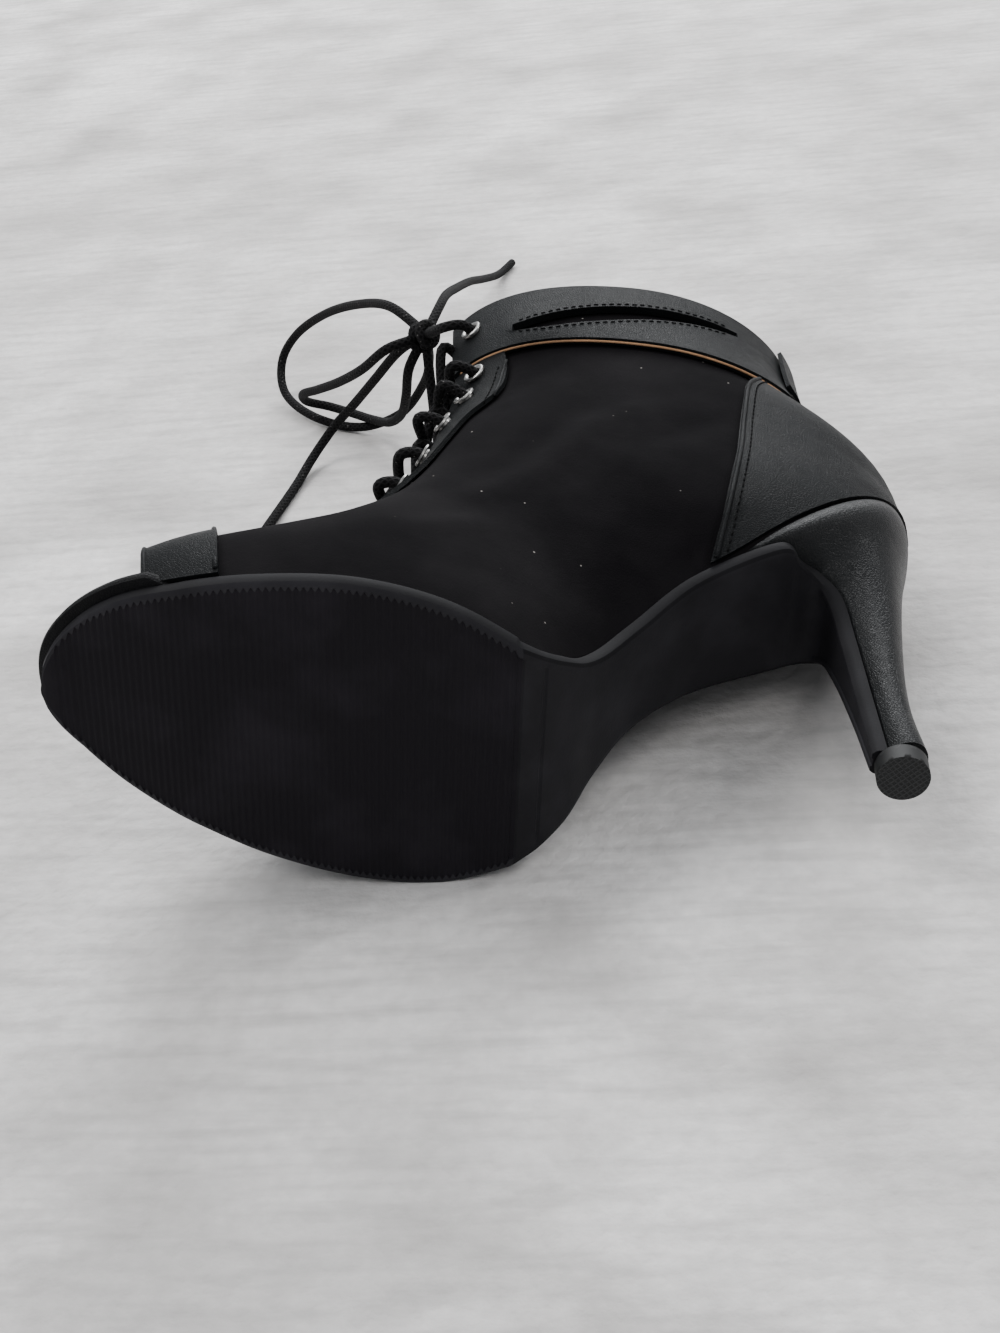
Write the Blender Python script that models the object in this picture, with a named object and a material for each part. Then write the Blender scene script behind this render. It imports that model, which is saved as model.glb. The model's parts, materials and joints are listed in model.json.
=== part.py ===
"""High heel lace-up dance shoe for the right foot, open at the toe and at the throat.

The shoe is worked out standing on its tread and heel tip, with x to the toe, y to the inner
side of the foot and z up. It is then laid on its outer side, as it lies on the floor.
"""
import math

import bmesh
import bpy
import numpy as np
from mathutils import Matrix, Vector
from mathutils.geometry import intersect_point_tri

# Driving sizes in metres
SOLE_LENGTH = 0.2043
BALL_WIDTH = 0.0806
RIM_HEIGHT = 0.0998
COLLAR_HEIGHT = 0.1950

# Thicknesses and clearances
GAP = 0.0004
SOLE_THICK = 0.0030
SOLE_BEVEL = 0.0011
INSOLE_THICK = 0.0020
INSOLE_CLEAR = 0.0006
UPPER_WALL = 0.0018
OVERLAY_WALL = 0.0012
STRAP_WALL = 0.0022

# Edges of the pieces against each other
UPPER_INSET = 0.0012
TOE_RIM = 0.0024
SEAT_INSET = 0.0030
SEAT_DEPTH = 0.0080
SEAT_EASE = 0.70
SEAT_DRAFT = 0.0035

# Top piece under the heel
TIP_RADIUS = 0.0060
TIP_THICK = 0.0050

# Lacing
EYELET_RADIUS = 0.0033
EYELET_BORE = 0.0019
EYELET_LIP = 0.0008
EYELET_EDGE = 0.0085
LACE_DIAMETER = 0.0030
LACE_RISE = 0.0050
FACING_WIDTH = 0.0190
FACING_MARGIN = 0.0004
EYELET_SKIN = 0.0004
CUT_DEPTH = 0.0120
THROAT_HALF = 0.0140
THROAT_SPREAD = 0.45

# Bow on the lace: knot, two loops and two free ends. Its points stand in the frame of the lying
# shoe, in metres, and each cord leaves the knot along the first of its directions.
KNOT = Vector((-0.0324, 0.0946, 0.0550))
KNOT_RADIUS = 0.0048
CORD_STEP = 3 * LACE_DIAMETER
LARGE_LEAVES = (Vector((-0.55, 0.72, 0.42)), Vector((-0.05, 0.65, -0.76)))
LARGE_LOOP = (
    (-0.0450, 0.1120, 0.0580), (-0.0590, 0.1360, 0.0495), (-0.0760, 0.1630, 0.0360),
    (-0.0910, 0.1795, 0.0225), (-0.0990, 0.1825, 0.0112), (-0.0970, 0.1710, 0.0038),
    (-0.0840, 0.1540, 0.0022), (-0.0670, 0.1440, 0.0022), (-0.0510, 0.1375, 0.0095),
    (-0.0400, 0.1270, 0.0250), (-0.0345, 0.1090, 0.0410),
)
SMALL_LEAVES = (Vector((-0.94, -0.29, -0.16)), Vector((-0.55, -0.25, -0.80)))
SMALL_LOOP = (
    (-0.0440, 0.0910, 0.0530), (-0.0540, 0.0990, 0.0435), (-0.0650, 0.1140, 0.0330),
    (-0.0760, 0.1300, 0.0235), (-0.0840, 0.1425, 0.0165), (-0.0850, 0.1505, 0.0100),
    (-0.0785, 0.1535, 0.0062), (-0.0700, 0.1485, 0.0055), (-0.0610, 0.1390, 0.0070),
    (-0.0530, 0.1260, 0.0120), (-0.0460, 0.1110, 0.0220), (-0.0415, 0.0985, 0.0340),
    (-0.0384, 0.0922, 0.0455),
)
UPPER_LEAVES = (Vector((0.25, 0.95, 0.20)),)
UPPER_END = (
    (-0.0293, 0.1120, 0.0570), (-0.0295, 0.1300, 0.0530), (-0.0305, 0.1620, 0.0420),
    (-0.0315, 0.2040, 0.0270), (-0.0310, 0.2430, 0.0120), (-0.0285, 0.2680, 0.0034),
    (-0.0245, 0.2830, 0.0018),
)
LOWER_LEAVES = (Vector((-0.80, 0.45, -0.40)),)
LOWER_END = (
    (-0.0430, 0.1010, 0.0470), (-0.0530, 0.1120, 0.0340), (-0.0630, 0.1230, 0.0210),
    (-0.0710, 0.1280, 0.0120), (-0.0765, 0.1250, 0.0064), (-0.0800, 0.1180, 0.0034),
    (-0.0825, 0.1070, 0.0019), (-0.0850, 0.0935, 0.0017), (-0.0875, 0.0800, 0.0017),
    (-0.0890, 0.0700, 0.0017),
)

# Outline of the sole from the toe to the heel tip. x is a share of SOLE_LENGTH, z a share of
# RIM_HEIGHT, inner and outer are shares of half BALL_WIDTH.
SOLE_ROWS = np.array([
    # x, z, inner, outer
    (1.000, 0.062, 0.140, 0.010),
    (0.991, 0.056, 0.290, 0.075),
    (0.962, 0.045, 0.551, 0.273),
    (0.908, 0.022, 0.760, 0.485),
    (0.838, 0.000, 0.896, 0.677),
    (0.754, 0.000, 0.979, 0.872),
    (0.654, 0.000, 1.000, 0.994),
    (0.560, 0.000, 0.898, 0.989),
    (0.481, 0.000, 0.682, 0.834),
    (0.427, 0.079, 0.480, 0.675),
    (0.394, 0.193, 0.333, 0.511),
    (0.351, 0.336, 0.318, 0.402),
    (0.285, 0.477, 0.442, 0.371),
    (0.192, 0.573, 0.561, 0.330),
    (0.168, 0.590, 0.452, 0.310),
    (0.147, 0.597, 0.340, 0.290),
    (0.129, 0.560, 0.250, 0.235),
    (0.118, 0.440, 0.175, 0.180),
    (0.107, 0.250, 0.120, 0.120),
    (0.0965, 0.052, 0.080, 0.080),
])

# Heel from the rim of the cup to the tip. Each section runs from the sole at row number sole_row
# to a back point, whose x and z are shares as above, and belly is a share of half BALL_WIDTH.
HEEL_ROWS = np.array([
    # sole_row, back_x, back_z, belly, belly_at
    (12.60, 0.0160, 1.000, 0.545, 0.50),
    (13.30, 0.0140, 0.930, 0.535, 0.50),
    (14.20, 0.0185, 0.855, 0.495, 0.50),
    (15.10, 0.0275, 0.770, 0.425, 0.48),
    (15.90, 0.0350, 0.670, 0.350, 0.45),
    (16.60, 0.0405, 0.560, 0.285, 0.45),
    (17.20, 0.0450, 0.440, 0.235, 0.45),
    (17.80, 0.0480, 0.320, 0.195, 0.45),
    (18.40, 0.0470, 0.200, 0.165, 0.45),
    (18.80, 0.0410, 0.110, 0.155, 0.50),
    (19.00, 0.0366, 0.060, 0.145, 0.50),
])

# Back line of the upper above the cup: x is a share of SOLE_LENGTH, z a share of the way from
# RIM_HEIGHT up to COLLAR_HEIGHT
BACK_ROWS = np.array([
    # x, z
    (0.0160, 0.0025),
    (0.0140, 0.1520),
    (0.0510, 0.3179),
    (0.1080, 0.4592),
    (0.1320, 0.5555),
    (0.1420, 0.6559),
    (0.1460, 0.7562),
    (0.1490, 0.8587),
])

# Upper: fan of sections from the toe opening to the collar. edge is where the lower end stands:
# up to CUP_FRONT a row number of SOLE_ROWS, then two steps round the rim of the cup, then the
# rows of BACK_ROWS. The upper end is on the top line, x a share of SOLE_LENGTH, z a share of
# COLLAR_HEIGHT, y and belly shares of half BALL_WIDTH.
CUP_FRONT = 12.6
CUP_BACK = 14.6
UPPER_ROWS = np.array([
    # edge, top_x, top_z, top_y, belly, belly_at
    (3.42, 0.907, 0.153, 0.140, 0.700, 0.30),
    (3.95, 0.872, 0.177, 0.110, 0.790, 0.30),
    (4.53, 0.834, 0.200, 0.085, 0.860, 0.28),
    (5.15, 0.789, 0.227, 0.060, 0.925, 0.26),
    (5.86, 0.742, 0.266, 0.035, 0.980, 0.25),
    (6.70, 0.703, 0.335, 0.020, 0.965, 0.26),
    (7.60, 0.670, 0.416, 0.010, 0.895, 0.30),
    (8.65, 0.648, 0.498, 0.000, 0.820, 0.36),
    (10.00, 0.637, 0.567, 0.000, 0.765, 0.42),
    (11.20, 0.631, 0.626, 0.000, 0.730, 0.46),
    (12.00, 0.629, 0.660, 0.000, 0.715, 0.48),
    (12.60, 0.627, 0.685, 0.000, 0.710, 0.48),
    (13.10, 0.627, 0.702, 0.000, 0.710, 0.48),
    (13.60, 0.626, 0.719, 0.000, 0.715, 0.48),
    (14.10, 0.626, 0.734, 0.000, 0.720, 0.48),
    (14.60, 0.626, 0.749, 0.000, 0.725, 0.48),
    (15.60, 0.626, 0.768, 0.000, 0.725, 0.48),
    (16.60, 0.627, 0.788, 0.000, 0.725, 0.48),
    (17.60, 0.630, 0.813, 0.000, 0.725, 0.48),
    (18.60, 0.633, 0.847, 0.000, 0.735, 0.48),
    (19.60, 0.636, 0.884, 0.000, 0.745, 0.48),
    (20.60, 0.639, 0.921, 0.000, 0.755, 0.48),
    (21.60, 0.643, 0.958, 0.000, 0.765, 0.48),
])
TOE_ROW = 0.0
BAND_ROW = 2.0
THROAT_ROW = 4.0
STRAP_ROW = 18.0
SUEDE_TOP_ROW = 19.0
COLLAR_ROW = 22.0
TOP_ROUND = 2.3
ROUND_FOOT = 2.0
OPEN_FOOT = 1.15

STRAP_MARGIN = 0.08
COUNTER_LIFT = 0.0013
BAND_LIFT = 0.0008
COUNTER_ROW = 8.5  # one of MESH_ROWS
FACING_ROW = 3.4
TAB_HALF = 0.0160
EYELET_ROWS = (5.5, 6.75, 7.95, 9.8, 13.2, 16.7, 20.3)

# Front seam of the counter from the sole to the strap, shares of SOLE_LENGTH and COLLAR_HEIGHT
COUNTER_SEAM = np.array([
    # x, z
    (0.320, 0.100),
    (0.287, 0.217),
    (0.263, 0.330),
    (0.244, 0.468),
    (0.235, 0.581),
    (0.226, 0.675),
    (0.211, 0.734),
    (0.190, 0.800),
])

# Width of a facing against FACING_WIDTH, by its share of the way from its toe end to the strap
FACING_TAPER = np.array([
    # share, width
    (0.00, 0.40),
    (0.10, 0.70),
    (0.30, 1.00),
    (0.60, 1.08),
    (1.00, 0.92),
])

# Slot of the ankle strap: shares of the way from the back to the front, and up the strap
SLOT_BACK = 0.26
SLOT_FRONT = 0.84
SLOT_LEVEL = 0.60
SLOT_HALF = 0.10
SLOT_END_HALF = 0.25  # height of a slot at its ends against its middle
STRAP_STEP = 0.28  # share of the way up the strap of the row of points under the slots

# Rows and shares where pieces start and end
TAB_START = 0.42  # share of the way up the strap
INSOLE_TOE_END = 0.22  # rows from the end of the open toe's rim to the toe edge of the upper
INSOLE_TUCK_START = 0.12  # rows from there to where the insole lies inside the upper
INSOLE_SEAT_START = 0.30  # rows from the last station of the sole to the front of the cup
EDGE_EASE = 6.0  # how steeply the upper's inset fades out at the back of the cup
COUNTER_EASE = 0.3  # rows over which the counter's lift fades out
BEVEL_SHARE = 0.3  # largest bevel of the sole against its half width
OUTER_LEAN = 0.8  # cosine of the largest tilt of the face the shoe lies on

# Lacing between two pairs of eyelets: shares of the way along, and of the throat's half width
CROSS_START = 0.25
CROSS_END = 0.75
CROSS_REACH = 0.7
LAST_REACH = 0.45

# Fineness of the meshes
PROFILE_STEPS = 40
SOLE_RINGS = 38
HEEL_RINGS = 20
HEEL_COLUMNS = 8
UPPER_COLUMNS = 11
STRAP_COLUMNS = 22
EYELET_SIDES = 8
INSOLE_TOE_STATIONS = 9
INSOLE_STATIONS = 24
FACING_COLUMNS = 3
TAB_ROWS = 4
TAB_COLUMNS = 4
TIP_SIDES = 20
KNOT_SEGMENTS = 10
KNOT_RINGS = 7
LACE_SIDES = 6
LACE_STEPS = 2
ROUTE_STEPS = 12
SHARP_ANGLE = math.radians(35)
WELD = 0.000002

HALF_BALL = BALL_WIDTH / 2
MESH_ROWS = list(np.linspace(TOE_ROW, THROAT_ROW, 7))
MESH_ROWS += list(np.linspace(THROAT_ROW, SUEDE_TOP_ROW, 21)[1:])


def spline(rows, at):
    """Smooth curve through the rows of a table, read at row number at."""
    last = len(rows) - 1
    start = min(max(int(at), 0), last - 1)
    f = at - start
    before = rows[max(start - 1, 0)]
    here = rows[start]
    after = rows[start + 1]
    beyond = rows[min(start + 2, last)]
    return 0.5 * (2 * here + (after - before) * f
                  + (2 * before - 5 * here + 4 * after - beyond) * f * f
                  + (3 * here - before - 3 * after + beyond) * f * f * f)


def sole_station(at):
    """Bottom face of the sole at a row number: x, z, half width, centre y and inward normal."""
    def point(number):
        x, z, inner, outer = spline(SOLE_ROWS, number)
        return x * SOLE_LENGTH, max(z, 0.0) * RIM_HEIGHT, inner * HALF_BALL, outer * HALF_BALL
    step = 0.05
    x, z, inner, outer = point(at)
    ahead = point(min(at + step, len(SOLE_ROWS) - 1))
    behind = point(max(at - step, 0.0))
    along = Vector((ahead[0] - behind[0], 0, ahead[1] - behind[1])).normalized()
    normal = Vector((along.z, 0, -along.x))
    return Vector((x, (inner - outer) / 2, z)), (inner + outer) / 2, normal


def sole_top(at, lift):
    """Centre and half width of the sole at lift above its bottom face."""
    centre, half, normal = sole_station(at)
    return centre + normal * lift, half


def profile(foot, belly, belly_at):
    """One side of a section: along-chord share and half width, from the foot edge to the end.

    A wide foot leaves the sole at a slant, and one that narrows to a point starts out round.
    """
    open_share = min(foot / (0.5 * belly), 1.0)
    root = ROUND_FOOT + (OPEN_FOOT - ROUND_FOOT) * open_share
    points = []
    for i in range(PROFILE_STEPS + 1):
        rise = 1 - math.cos(math.pi / 2 * i / PROFILE_STEPS)
        full = (1 - (1 - rise) ** 2) ** (1 / root)
        points.append((belly_at * rise, foot + (belly - foot) * full))
    for i in range(1, PROFILE_STEPS + 1):
        rise = math.sin(math.pi / 2 * i / PROFILE_STEPS)
        half = belly * max(1 - rise ** TOP_ROUND, 0.0) ** (1 / TOP_ROUND)
        points.append((belly_at + (1 - belly_at) * rise, half))
    return points


class Side:
    """One side of a section in space, read by the length of its arc from either end."""

    def __init__(self, start, end, foot, belly, belly_at, sign):
        self.points = []
        for share, half in profile(foot, belly, belly_at):
            point = start.lerp(end, share)
            ease = share * share * (3 - 2 * share)
            point.y = start.y + (end.y - start.y) * ease + sign * half
            self.points.append(point)
        self.points[-1] = end.copy()
        self.arcs = [0.0]
        for a, b in zip(self.points, self.points[1:]):
            self.arcs.append(self.arcs[-1] + (b - a).length)
        self.length = self.arcs[-1]

    def at(self, arc):
        arc = min(max(arc, 0.0), self.length)
        number = int(np.searchsorted(self.arcs, arc))
        number = min(max(number, 1), len(self.points) - 1)
        a, b = self.arcs[number - 1], self.arcs[number]
        share = (arc - a) / (b - a) if b > a else 0.0
        return self.points[number - 1].lerp(self.points[number], share)


def heel_section(row, sign):
    """One side of the heel's section at a row number of HEEL_ROWS, from the sole to the back."""
    sole_row, back_x, back_z, belly, belly_at = spline(HEEL_ROWS, row)
    start, foot = sole_top(sole_row, SOLE_THICK + GAP)
    end = Vector((back_x * SOLE_LENGTH, 0, back_z * RIM_HEIGHT))
    return Side(start, end, foot, max(belly * HALF_BALL, foot), belly_at, sign)


CUP_RIM = heel_section(0, 1)


def seat_floor(station):
    """Centre and half width of the seat's hollow floor at one station."""
    share, centre, half = station
    deep = math.sin(math.pi / 2 * min(share / SEAT_EASE, 1.0))
    return centre - Vector((0, 0, SEAT_DEPTH * deep)), max(half - SEAT_DRAFT * deep, 0.0)


def seat_stations():
    """Seat inside the rim from the front to the back: share of the way, centre and half width."""
    inner, outer = CUP_RIM, heel_section(0, -1)
    chord = inner.points[-1] - inner.points[0]
    chord.y = 0
    stations = []
    for i in range(HEEL_COLUMNS + 1):
        a = inner.at(inner.length * i / HEEL_COLUMNS)
        b = outer.at(outer.length * i / HEEL_COLUMNS)
        share = (a - inner.points[0]).dot(chord) / chord.length_squared
        centre = (a + b) / 2 - chord.normalized() * SEAT_INSET * share
        half = max((a.y - b.y) / 2 - SEAT_INSET, 0.0)
        stations.append((share, centre, half))
    return stations


def seat_ring(lowered):
    """Closed ring of the seat, at the rim's plane or on its hollow floor."""
    inner_side, outer_side = [], []
    for station in seat_stations():
        point, half = seat_floor(station) if lowered else station[1:]
        inner_side.append(point + Vector((0, half, 0)))
        outer_side.append(point - Vector((0, half, 0)))
    return inner_side + outer_side[-2::-1]


def upper_edge(edge):
    """Lower end of an upper section: its centre and half width."""
    if edge <= CUP_FRONT:
        centre, half = sole_top(edge, SOLE_THICK + GAP)
        return centre, half - UPPER_INSET
    if edge < CUP_BACK:
        share = (edge - CUP_FRONT) / (CUP_BACK - CUP_FRONT)
        point = CUP_RIM.at(share * CUP_RIM.length)
        front, _ = sole_top(CUP_FRONT, SOLE_THICK + GAP)
        chord = (point.x - CUP_RIM.points[-1].x) / (CUP_RIM.points[0].x - CUP_RIM.points[-1].x)
        ease = chord * chord * (3 - 2 * chord)
        centre_y = front.y * ease
        half = max((point.y - centre_y) - UPPER_INSET * min(1.0, (1 - share) * EDGE_EASE), 0.0)
        return Vector((point.x, centre_y, point.z + GAP)), half
    x, z = spline(BACK_ROWS, edge - CUP_BACK)
    height = RIM_HEIGHT + z * (COLLAR_HEIGHT - RIM_HEIGHT)
    return Vector((x * SOLE_LENGTH, 0, height)), 0.0


def upper_side(row, sign):
    edge, top_x, top_z, top_y, belly, belly_at = spline(UPPER_ROWS, row)
    start, foot = upper_edge(edge)
    end = Vector((top_x * SOLE_LENGTH, top_y * HALF_BALL, top_z * COLLAR_HEIGHT))
    return Side(start, end, foot, belly * HALF_BALL, belly_at, sign)


def throat_arc(row):
    """Arc from the top line to the edge of the throat."""
    if row <= THROAT_ROW:
        return 0.0
    return THROAT_HALF * ((row - THROAT_ROW) / (COLLAR_ROW - THROAT_ROW)) ** THROAT_SPREAD


def surface(row, arc):
    """Point of the upper at an arc from the top line, inner side positive."""
    side = upper_side(row, 1 if arc >= 0 else -1)
    return side.at(side.length - abs(arc))


def surface_frame(row, arc):
    """Point of the upper and its outward normal."""
    row_step, arc_step = 0.1, 0.0008
    along = surface(row + row_step, arc) - surface(row - row_step, arc)
    across = surface(row, arc + arc_step) - surface(row, arc - arc_step)
    return surface(row, arc), across.cross(along).normalized()


def raised(row, arc, height):
    point, normal = surface_frame(row, arc)
    return point + normal * height


def material(name, colour, roughness, metallic=0.0):
    finish = bpy.data.materials.new(name)
    finish.use_nodes = True
    shader = finish.node_tree.nodes["Principled BSDF"]
    shader.inputs["Base Color"].default_value = (*colour, 1.0)
    shader.inputs["Roughness"].default_value = roughness
    shader.inputs["Metallic"].default_value = metallic
    return finish


def make_object(name, bm, finish):
    """Store a mesh as one named object, shaded smooth except at its sharp edges."""
    bmesh.ops.recalc_face_normals(bm, faces=bm.faces)
    mesh = bpy.data.meshes.new(name)
    bm.to_mesh(mesh)
    bm.free()
    mesh.shade_smooth()
    mesh.set_sharp_from_angle(angle=SHARP_ANGLE)
    mesh.materials.append(finish)
    item = bpy.data.objects.new(name, mesh)
    bpy.context.collection.objects.link(item)
    return item


def close_ring(bm, ring):
    """Cap of strips across a ring whose points pair up over its middle."""
    last = len(ring) - 1
    for i in range(last // 2):
        corners = [ring[i], ring[i + 1], ring[last - i - 1], ring[last - i]]
        bm.faces.new(dict.fromkeys(corners))


def loft(rings):
    """Closed solid through rings of points with as many points each."""
    bm = bmesh.new()
    loops = [[bm.verts.new(point) for point in ring] for ring in rings]
    for a, b in zip(loops, loops[1:]):
        for i in range(len(a)):
            j = (i + 1) % len(a)
            bm.faces.new((a[i], a[j], b[j], b[i]))
    close_ring(bm, loops[0])
    close_ring(bm, loops[-1])
    return bm


def sheet(rows, arcs, signs=(1, -1)):
    """Open sheet on the upper. arcs gives the columns of a row, from the lower end of a side."""
    bm = bmesh.new()
    for sign in signs:
        grid = []
        for row in rows:
            side = upper_side(row, sign)
            grid.append([bm.verts.new(side.at(arc)) for arc in arcs(row, side)])
        for low, high in zip(grid, grid[1:]):
            for j in range(len(low) - 1):
                for corners in ((low[j], high[j], high[j + 1]), (low[j], high[j + 1], low[j + 1])):
                    bm.faces.new(corners if sign > 0 else reversed(corners))
    bmesh.ops.remove_doubles(bm, verts=bm.verts, dist=WELD)
    bmesh.ops.dissolve_degenerate(bm, edges=bm.edges, dist=WELD)
    return bm


def wall(flat, low, high):
    """Closed wall between two heights over an open sheet."""
    flat.normal_update()
    bm = bmesh.new()
    under = {v: bm.verts.new(v.co + v.normal * low) for v in flat.verts}
    over = {v: bm.verts.new(v.co + v.normal * high) for v in flat.verts}
    for face in flat.faces:
        bm.faces.new([over[v] for v in face.verts])
        bm.faces.new([under[v] for v in reversed(face.verts)])
    for edge in flat.edges:
        if edge.is_boundary:
            loop = edge.link_loops[0]
            a, b = loop.vert, loop.link_loop_next.vert
            bm.faces.new((under[a], under[b], over[b], over[a]))
    flat.free()
    return bm


def tube(points, radius, sides):
    """Closed round tube through points, turned without twist."""
    rings = []
    tangent = (points[1] - points[0]).normalized()
    across = tangent.orthogonal().normalized()
    for number, point in enumerate(points):
        ahead = points[min(number + 1, len(points) - 1)]
        behind = points[max(number - 1, 0)]
        turned = (ahead - behind).normalized()
        across.rotate(tangent.rotation_difference(turned))
        across = (across - turned * across.dot(turned)).normalized()
        tangent = turned
        up = turned.cross(across)
        ring = []
        for i in range(sides):
            angle = 2 * math.pi * i / sides
            ring.append(point + (across * math.cos(angle) + up * math.sin(angle)) * radius)
        rings.append(ring)
    return loft(rings)


def smooth_path(route, steps):
    """Points on a smooth curve through the points of a route."""
    rows = np.array([tuple(point) for point in route])
    count = (len(rows) - 1) * steps
    return [Vector(spline(rows, i / steps)) for i in range(count + 1)]


def even_path(route, step):
    """Points evenly spaced by about one step along a smooth curve through a route."""
    fine = smooth_path(route, ROUTE_STEPS)
    arcs = [0.0]
    for a, b in zip(fine, fine[1:]):
        arcs.append(arcs[-1] + (b - a).length)
    columns = np.array([tuple(point) for point in fine])
    places = np.linspace(0, arcs[-1], max(int(arcs[-1] / step), 2) + 1)
    return [Vector([np.interp(place, arcs, columns[:, i]) for i in range(3)]) for place in places]


def build_outsole(finish):
    rings = []
    last = len(SOLE_ROWS) - 1
    for at in np.linspace(0, last, SOLE_RINGS):
        centre, half, normal = sole_station(at)
        bevel = min(SOLE_BEVEL, BEVEL_SHARE * half)
        side = Vector((0, 1, 0))
        ring = []
        for share, lift in ((-1, bevel), (-1, SOLE_THICK), (1, SOLE_THICK), (1, bevel)):
            ring.append(centre + side * half * share + normal * lift)
        ring.append(centre + side * (half - bevel))
        ring.append(centre - side * (half - bevel))
        rings.append(ring)
    return make_object("outsole", loft(rings), finish)


def build_heel(finish):
    """Covered heel with a cupped seat. Its first ring is the floor of the seat."""
    rings = [seat_ring(True), seat_ring(False)]
    for row in np.linspace(0, len(HEEL_ROWS) - 1, HEEL_RINGS):
        inner = heel_section(row, 1)
        outer = heel_section(row, -1)
        steps = [i / HEEL_COLUMNS for i in range(HEEL_COLUMNS + 1)]
        ring = [inner.at(inner.length * step) for step in steps]
        ring += [outer.at(outer.length * step) for step in reversed(steps[:-1])]
        rings.append(ring)
    return make_object("heel", loft(rings), finish)


def build_top_piece(finish):
    bm = bmesh.new()
    bmesh.ops.create_cone(bm, cap_ends=True, segments=TIP_SIDES, radius1=TIP_RADIUS,
                          radius2=TIP_RADIUS, depth=TIP_THICK - GAP)
    x = spline(HEEL_ROWS, len(HEEL_ROWS) - 1)[1] * SOLE_LENGTH + TIP_RADIUS
    bmesh.ops.translate(bm, verts=bm.verts, vec=(x, 0, (TIP_THICK - GAP) / 2))
    return make_object("top_piece", bm, finish)


def build_insole(finish):
    """Thin sole that stands out all round the open toe and lies inside the upper elsewhere."""
    stations = []
    tuck = UPPER_INSET + UPPER_WALL + INSOLE_CLEAR
    clear = 2 * GAP
    toe_edge = UPPER_ROWS[0][0]
    rim = np.linspace(0, toe_edge - INSOLE_TOE_END, INSOLE_TOE_STATIONS)
    tucked = np.linspace(toe_edge - INSOLE_TUCK_START, CUP_FRONT - INSOLE_SEAT_START,
                         INSOLE_STATIONS)
    places = [(at, TOE_RIM) for at in rim] + [(at, -tuck) for at in tucked]
    for at, spread in places:
        centre, half, normal = sole_station(at)
        centre += normal * (SOLE_THICK + clear)
        centre.x += TOE_RIM * max(1 - at, 0.0)
        stations.append((centre, half + spread, normal))
    up = Vector((0, 0, 1))
    for station in seat_stations()[:-1]:
        centre, half = seat_floor(station)
        stations.append((centre + up * clear, half - clear, up))
    solid = []
    for centre, half, normal in stations:
        side = Vector((0, half, 0))
        top = normal * INSOLE_THICK
        solid.append([centre - side, centre + side, centre + side + top, centre - side + top])
    return make_object("insole", loft(solid), finish)


def upper_columns(row, side):
    """Arcs of the upper's own columns, from its lower edge to the top line or the throat."""
    return np.linspace(0.0, side.length - throat_arc(row), UPPER_COLUMNS + 1)


def rows_between(first, last):
    """Rows of the upper's mesh between two row numbers, with both ends."""
    inside = [row for row in MESH_ROWS if first + 0.05 < row < last - 0.05]
    return [first] + inside + [last]


def build_upper(finish):
    flat = sheet(MESH_ROWS, upper_columns)
    return make_object("upper", wall(flat, -UPPER_WALL, 0.0), finish)


def band_arcs(row, side):
    """Columns of the toe band, its lower edge lifted clear of the sole."""
    columns = upper_columns(row, side)
    columns[0] = BAND_LIFT
    return columns


def build_toe_band(finish):
    rows = rows_between(TOE_ROW, BAND_ROW)
    flat = sheet(rows, band_arcs)
    return make_object("toe_band", wall(flat, GAP, GAP + OVERLAY_WALL), finish)


def build_seam_cutter():
    """Block in front of the counter's seam, as wide as the shoe."""
    front = SOLE_LENGTH
    outline = [(x * SOLE_LENGTH, z * COLLAR_HEIGHT) for x, z in COUNTER_SEAM]
    outline += [(front, COLLAR_HEIGHT), (front, 0.0)]
    rings = [[Vector((x, y, z)) for x, z in outline] for y in (-BALL_WIDTH, BALL_WIDTH)]
    cutter = make_object("seam_cutter", loft(rings), material("seam_cutter", (0.5, 0.5, 0.5), 0.5))
    cutter.hide_render = True
    cutter.display_type = "WIRE"
    return cutter


def counter_arcs(row, side):
    """Columns of the counter's sheet, its lower edge lifted clear of the cup."""
    edge = spline(UPPER_ROWS, row)[0]
    columns = upper_columns(row, side)
    columns[0] = COUNTER_LIFT * min(max((CUP_BACK - edge) / COUNTER_EASE, 0.0), 1.0)
    return columns


def build_counter(finish):
    """Leather round the heel: a wall over the upper's own mesh, cut at its front seam."""
    rows = rows_between(COUNTER_ROW, STRAP_ROW - STRAP_MARGIN)
    flat = sheet(rows, counter_arcs)
    counter = make_object("heel_counter", wall(flat, GAP, GAP + OVERLAY_WALL), finish)
    seam = counter.modifiers.new("front_seam", "BOOLEAN")
    seam.operation = "DIFFERENCE"
    seam.object = build_seam_cutter()
    return counter


def facing_arcs(row, side):
    """Columns of a lace facing, from its rear edge to the throat."""
    edge = throat_arc(row) + FACING_MARGIN
    share = (row - FACING_ROW) / (STRAP_ROW - FACING_ROW)
    width = FACING_WIDTH * np.interp(share, FACING_TAPER[:, 0], FACING_TAPER[:, 1])
    return np.linspace(side.length - edge - width, side.length - edge, FACING_COLUMNS + 1)


def build_facing(name, sign, finish):
    rows = rows_between(FACING_ROW, STRAP_ROW - STRAP_MARGIN)
    flat = sheet(rows, facing_arcs, (sign,))
    return make_object(name, wall(flat, GAP, GAP + OVERLAY_WALL), finish)


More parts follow.
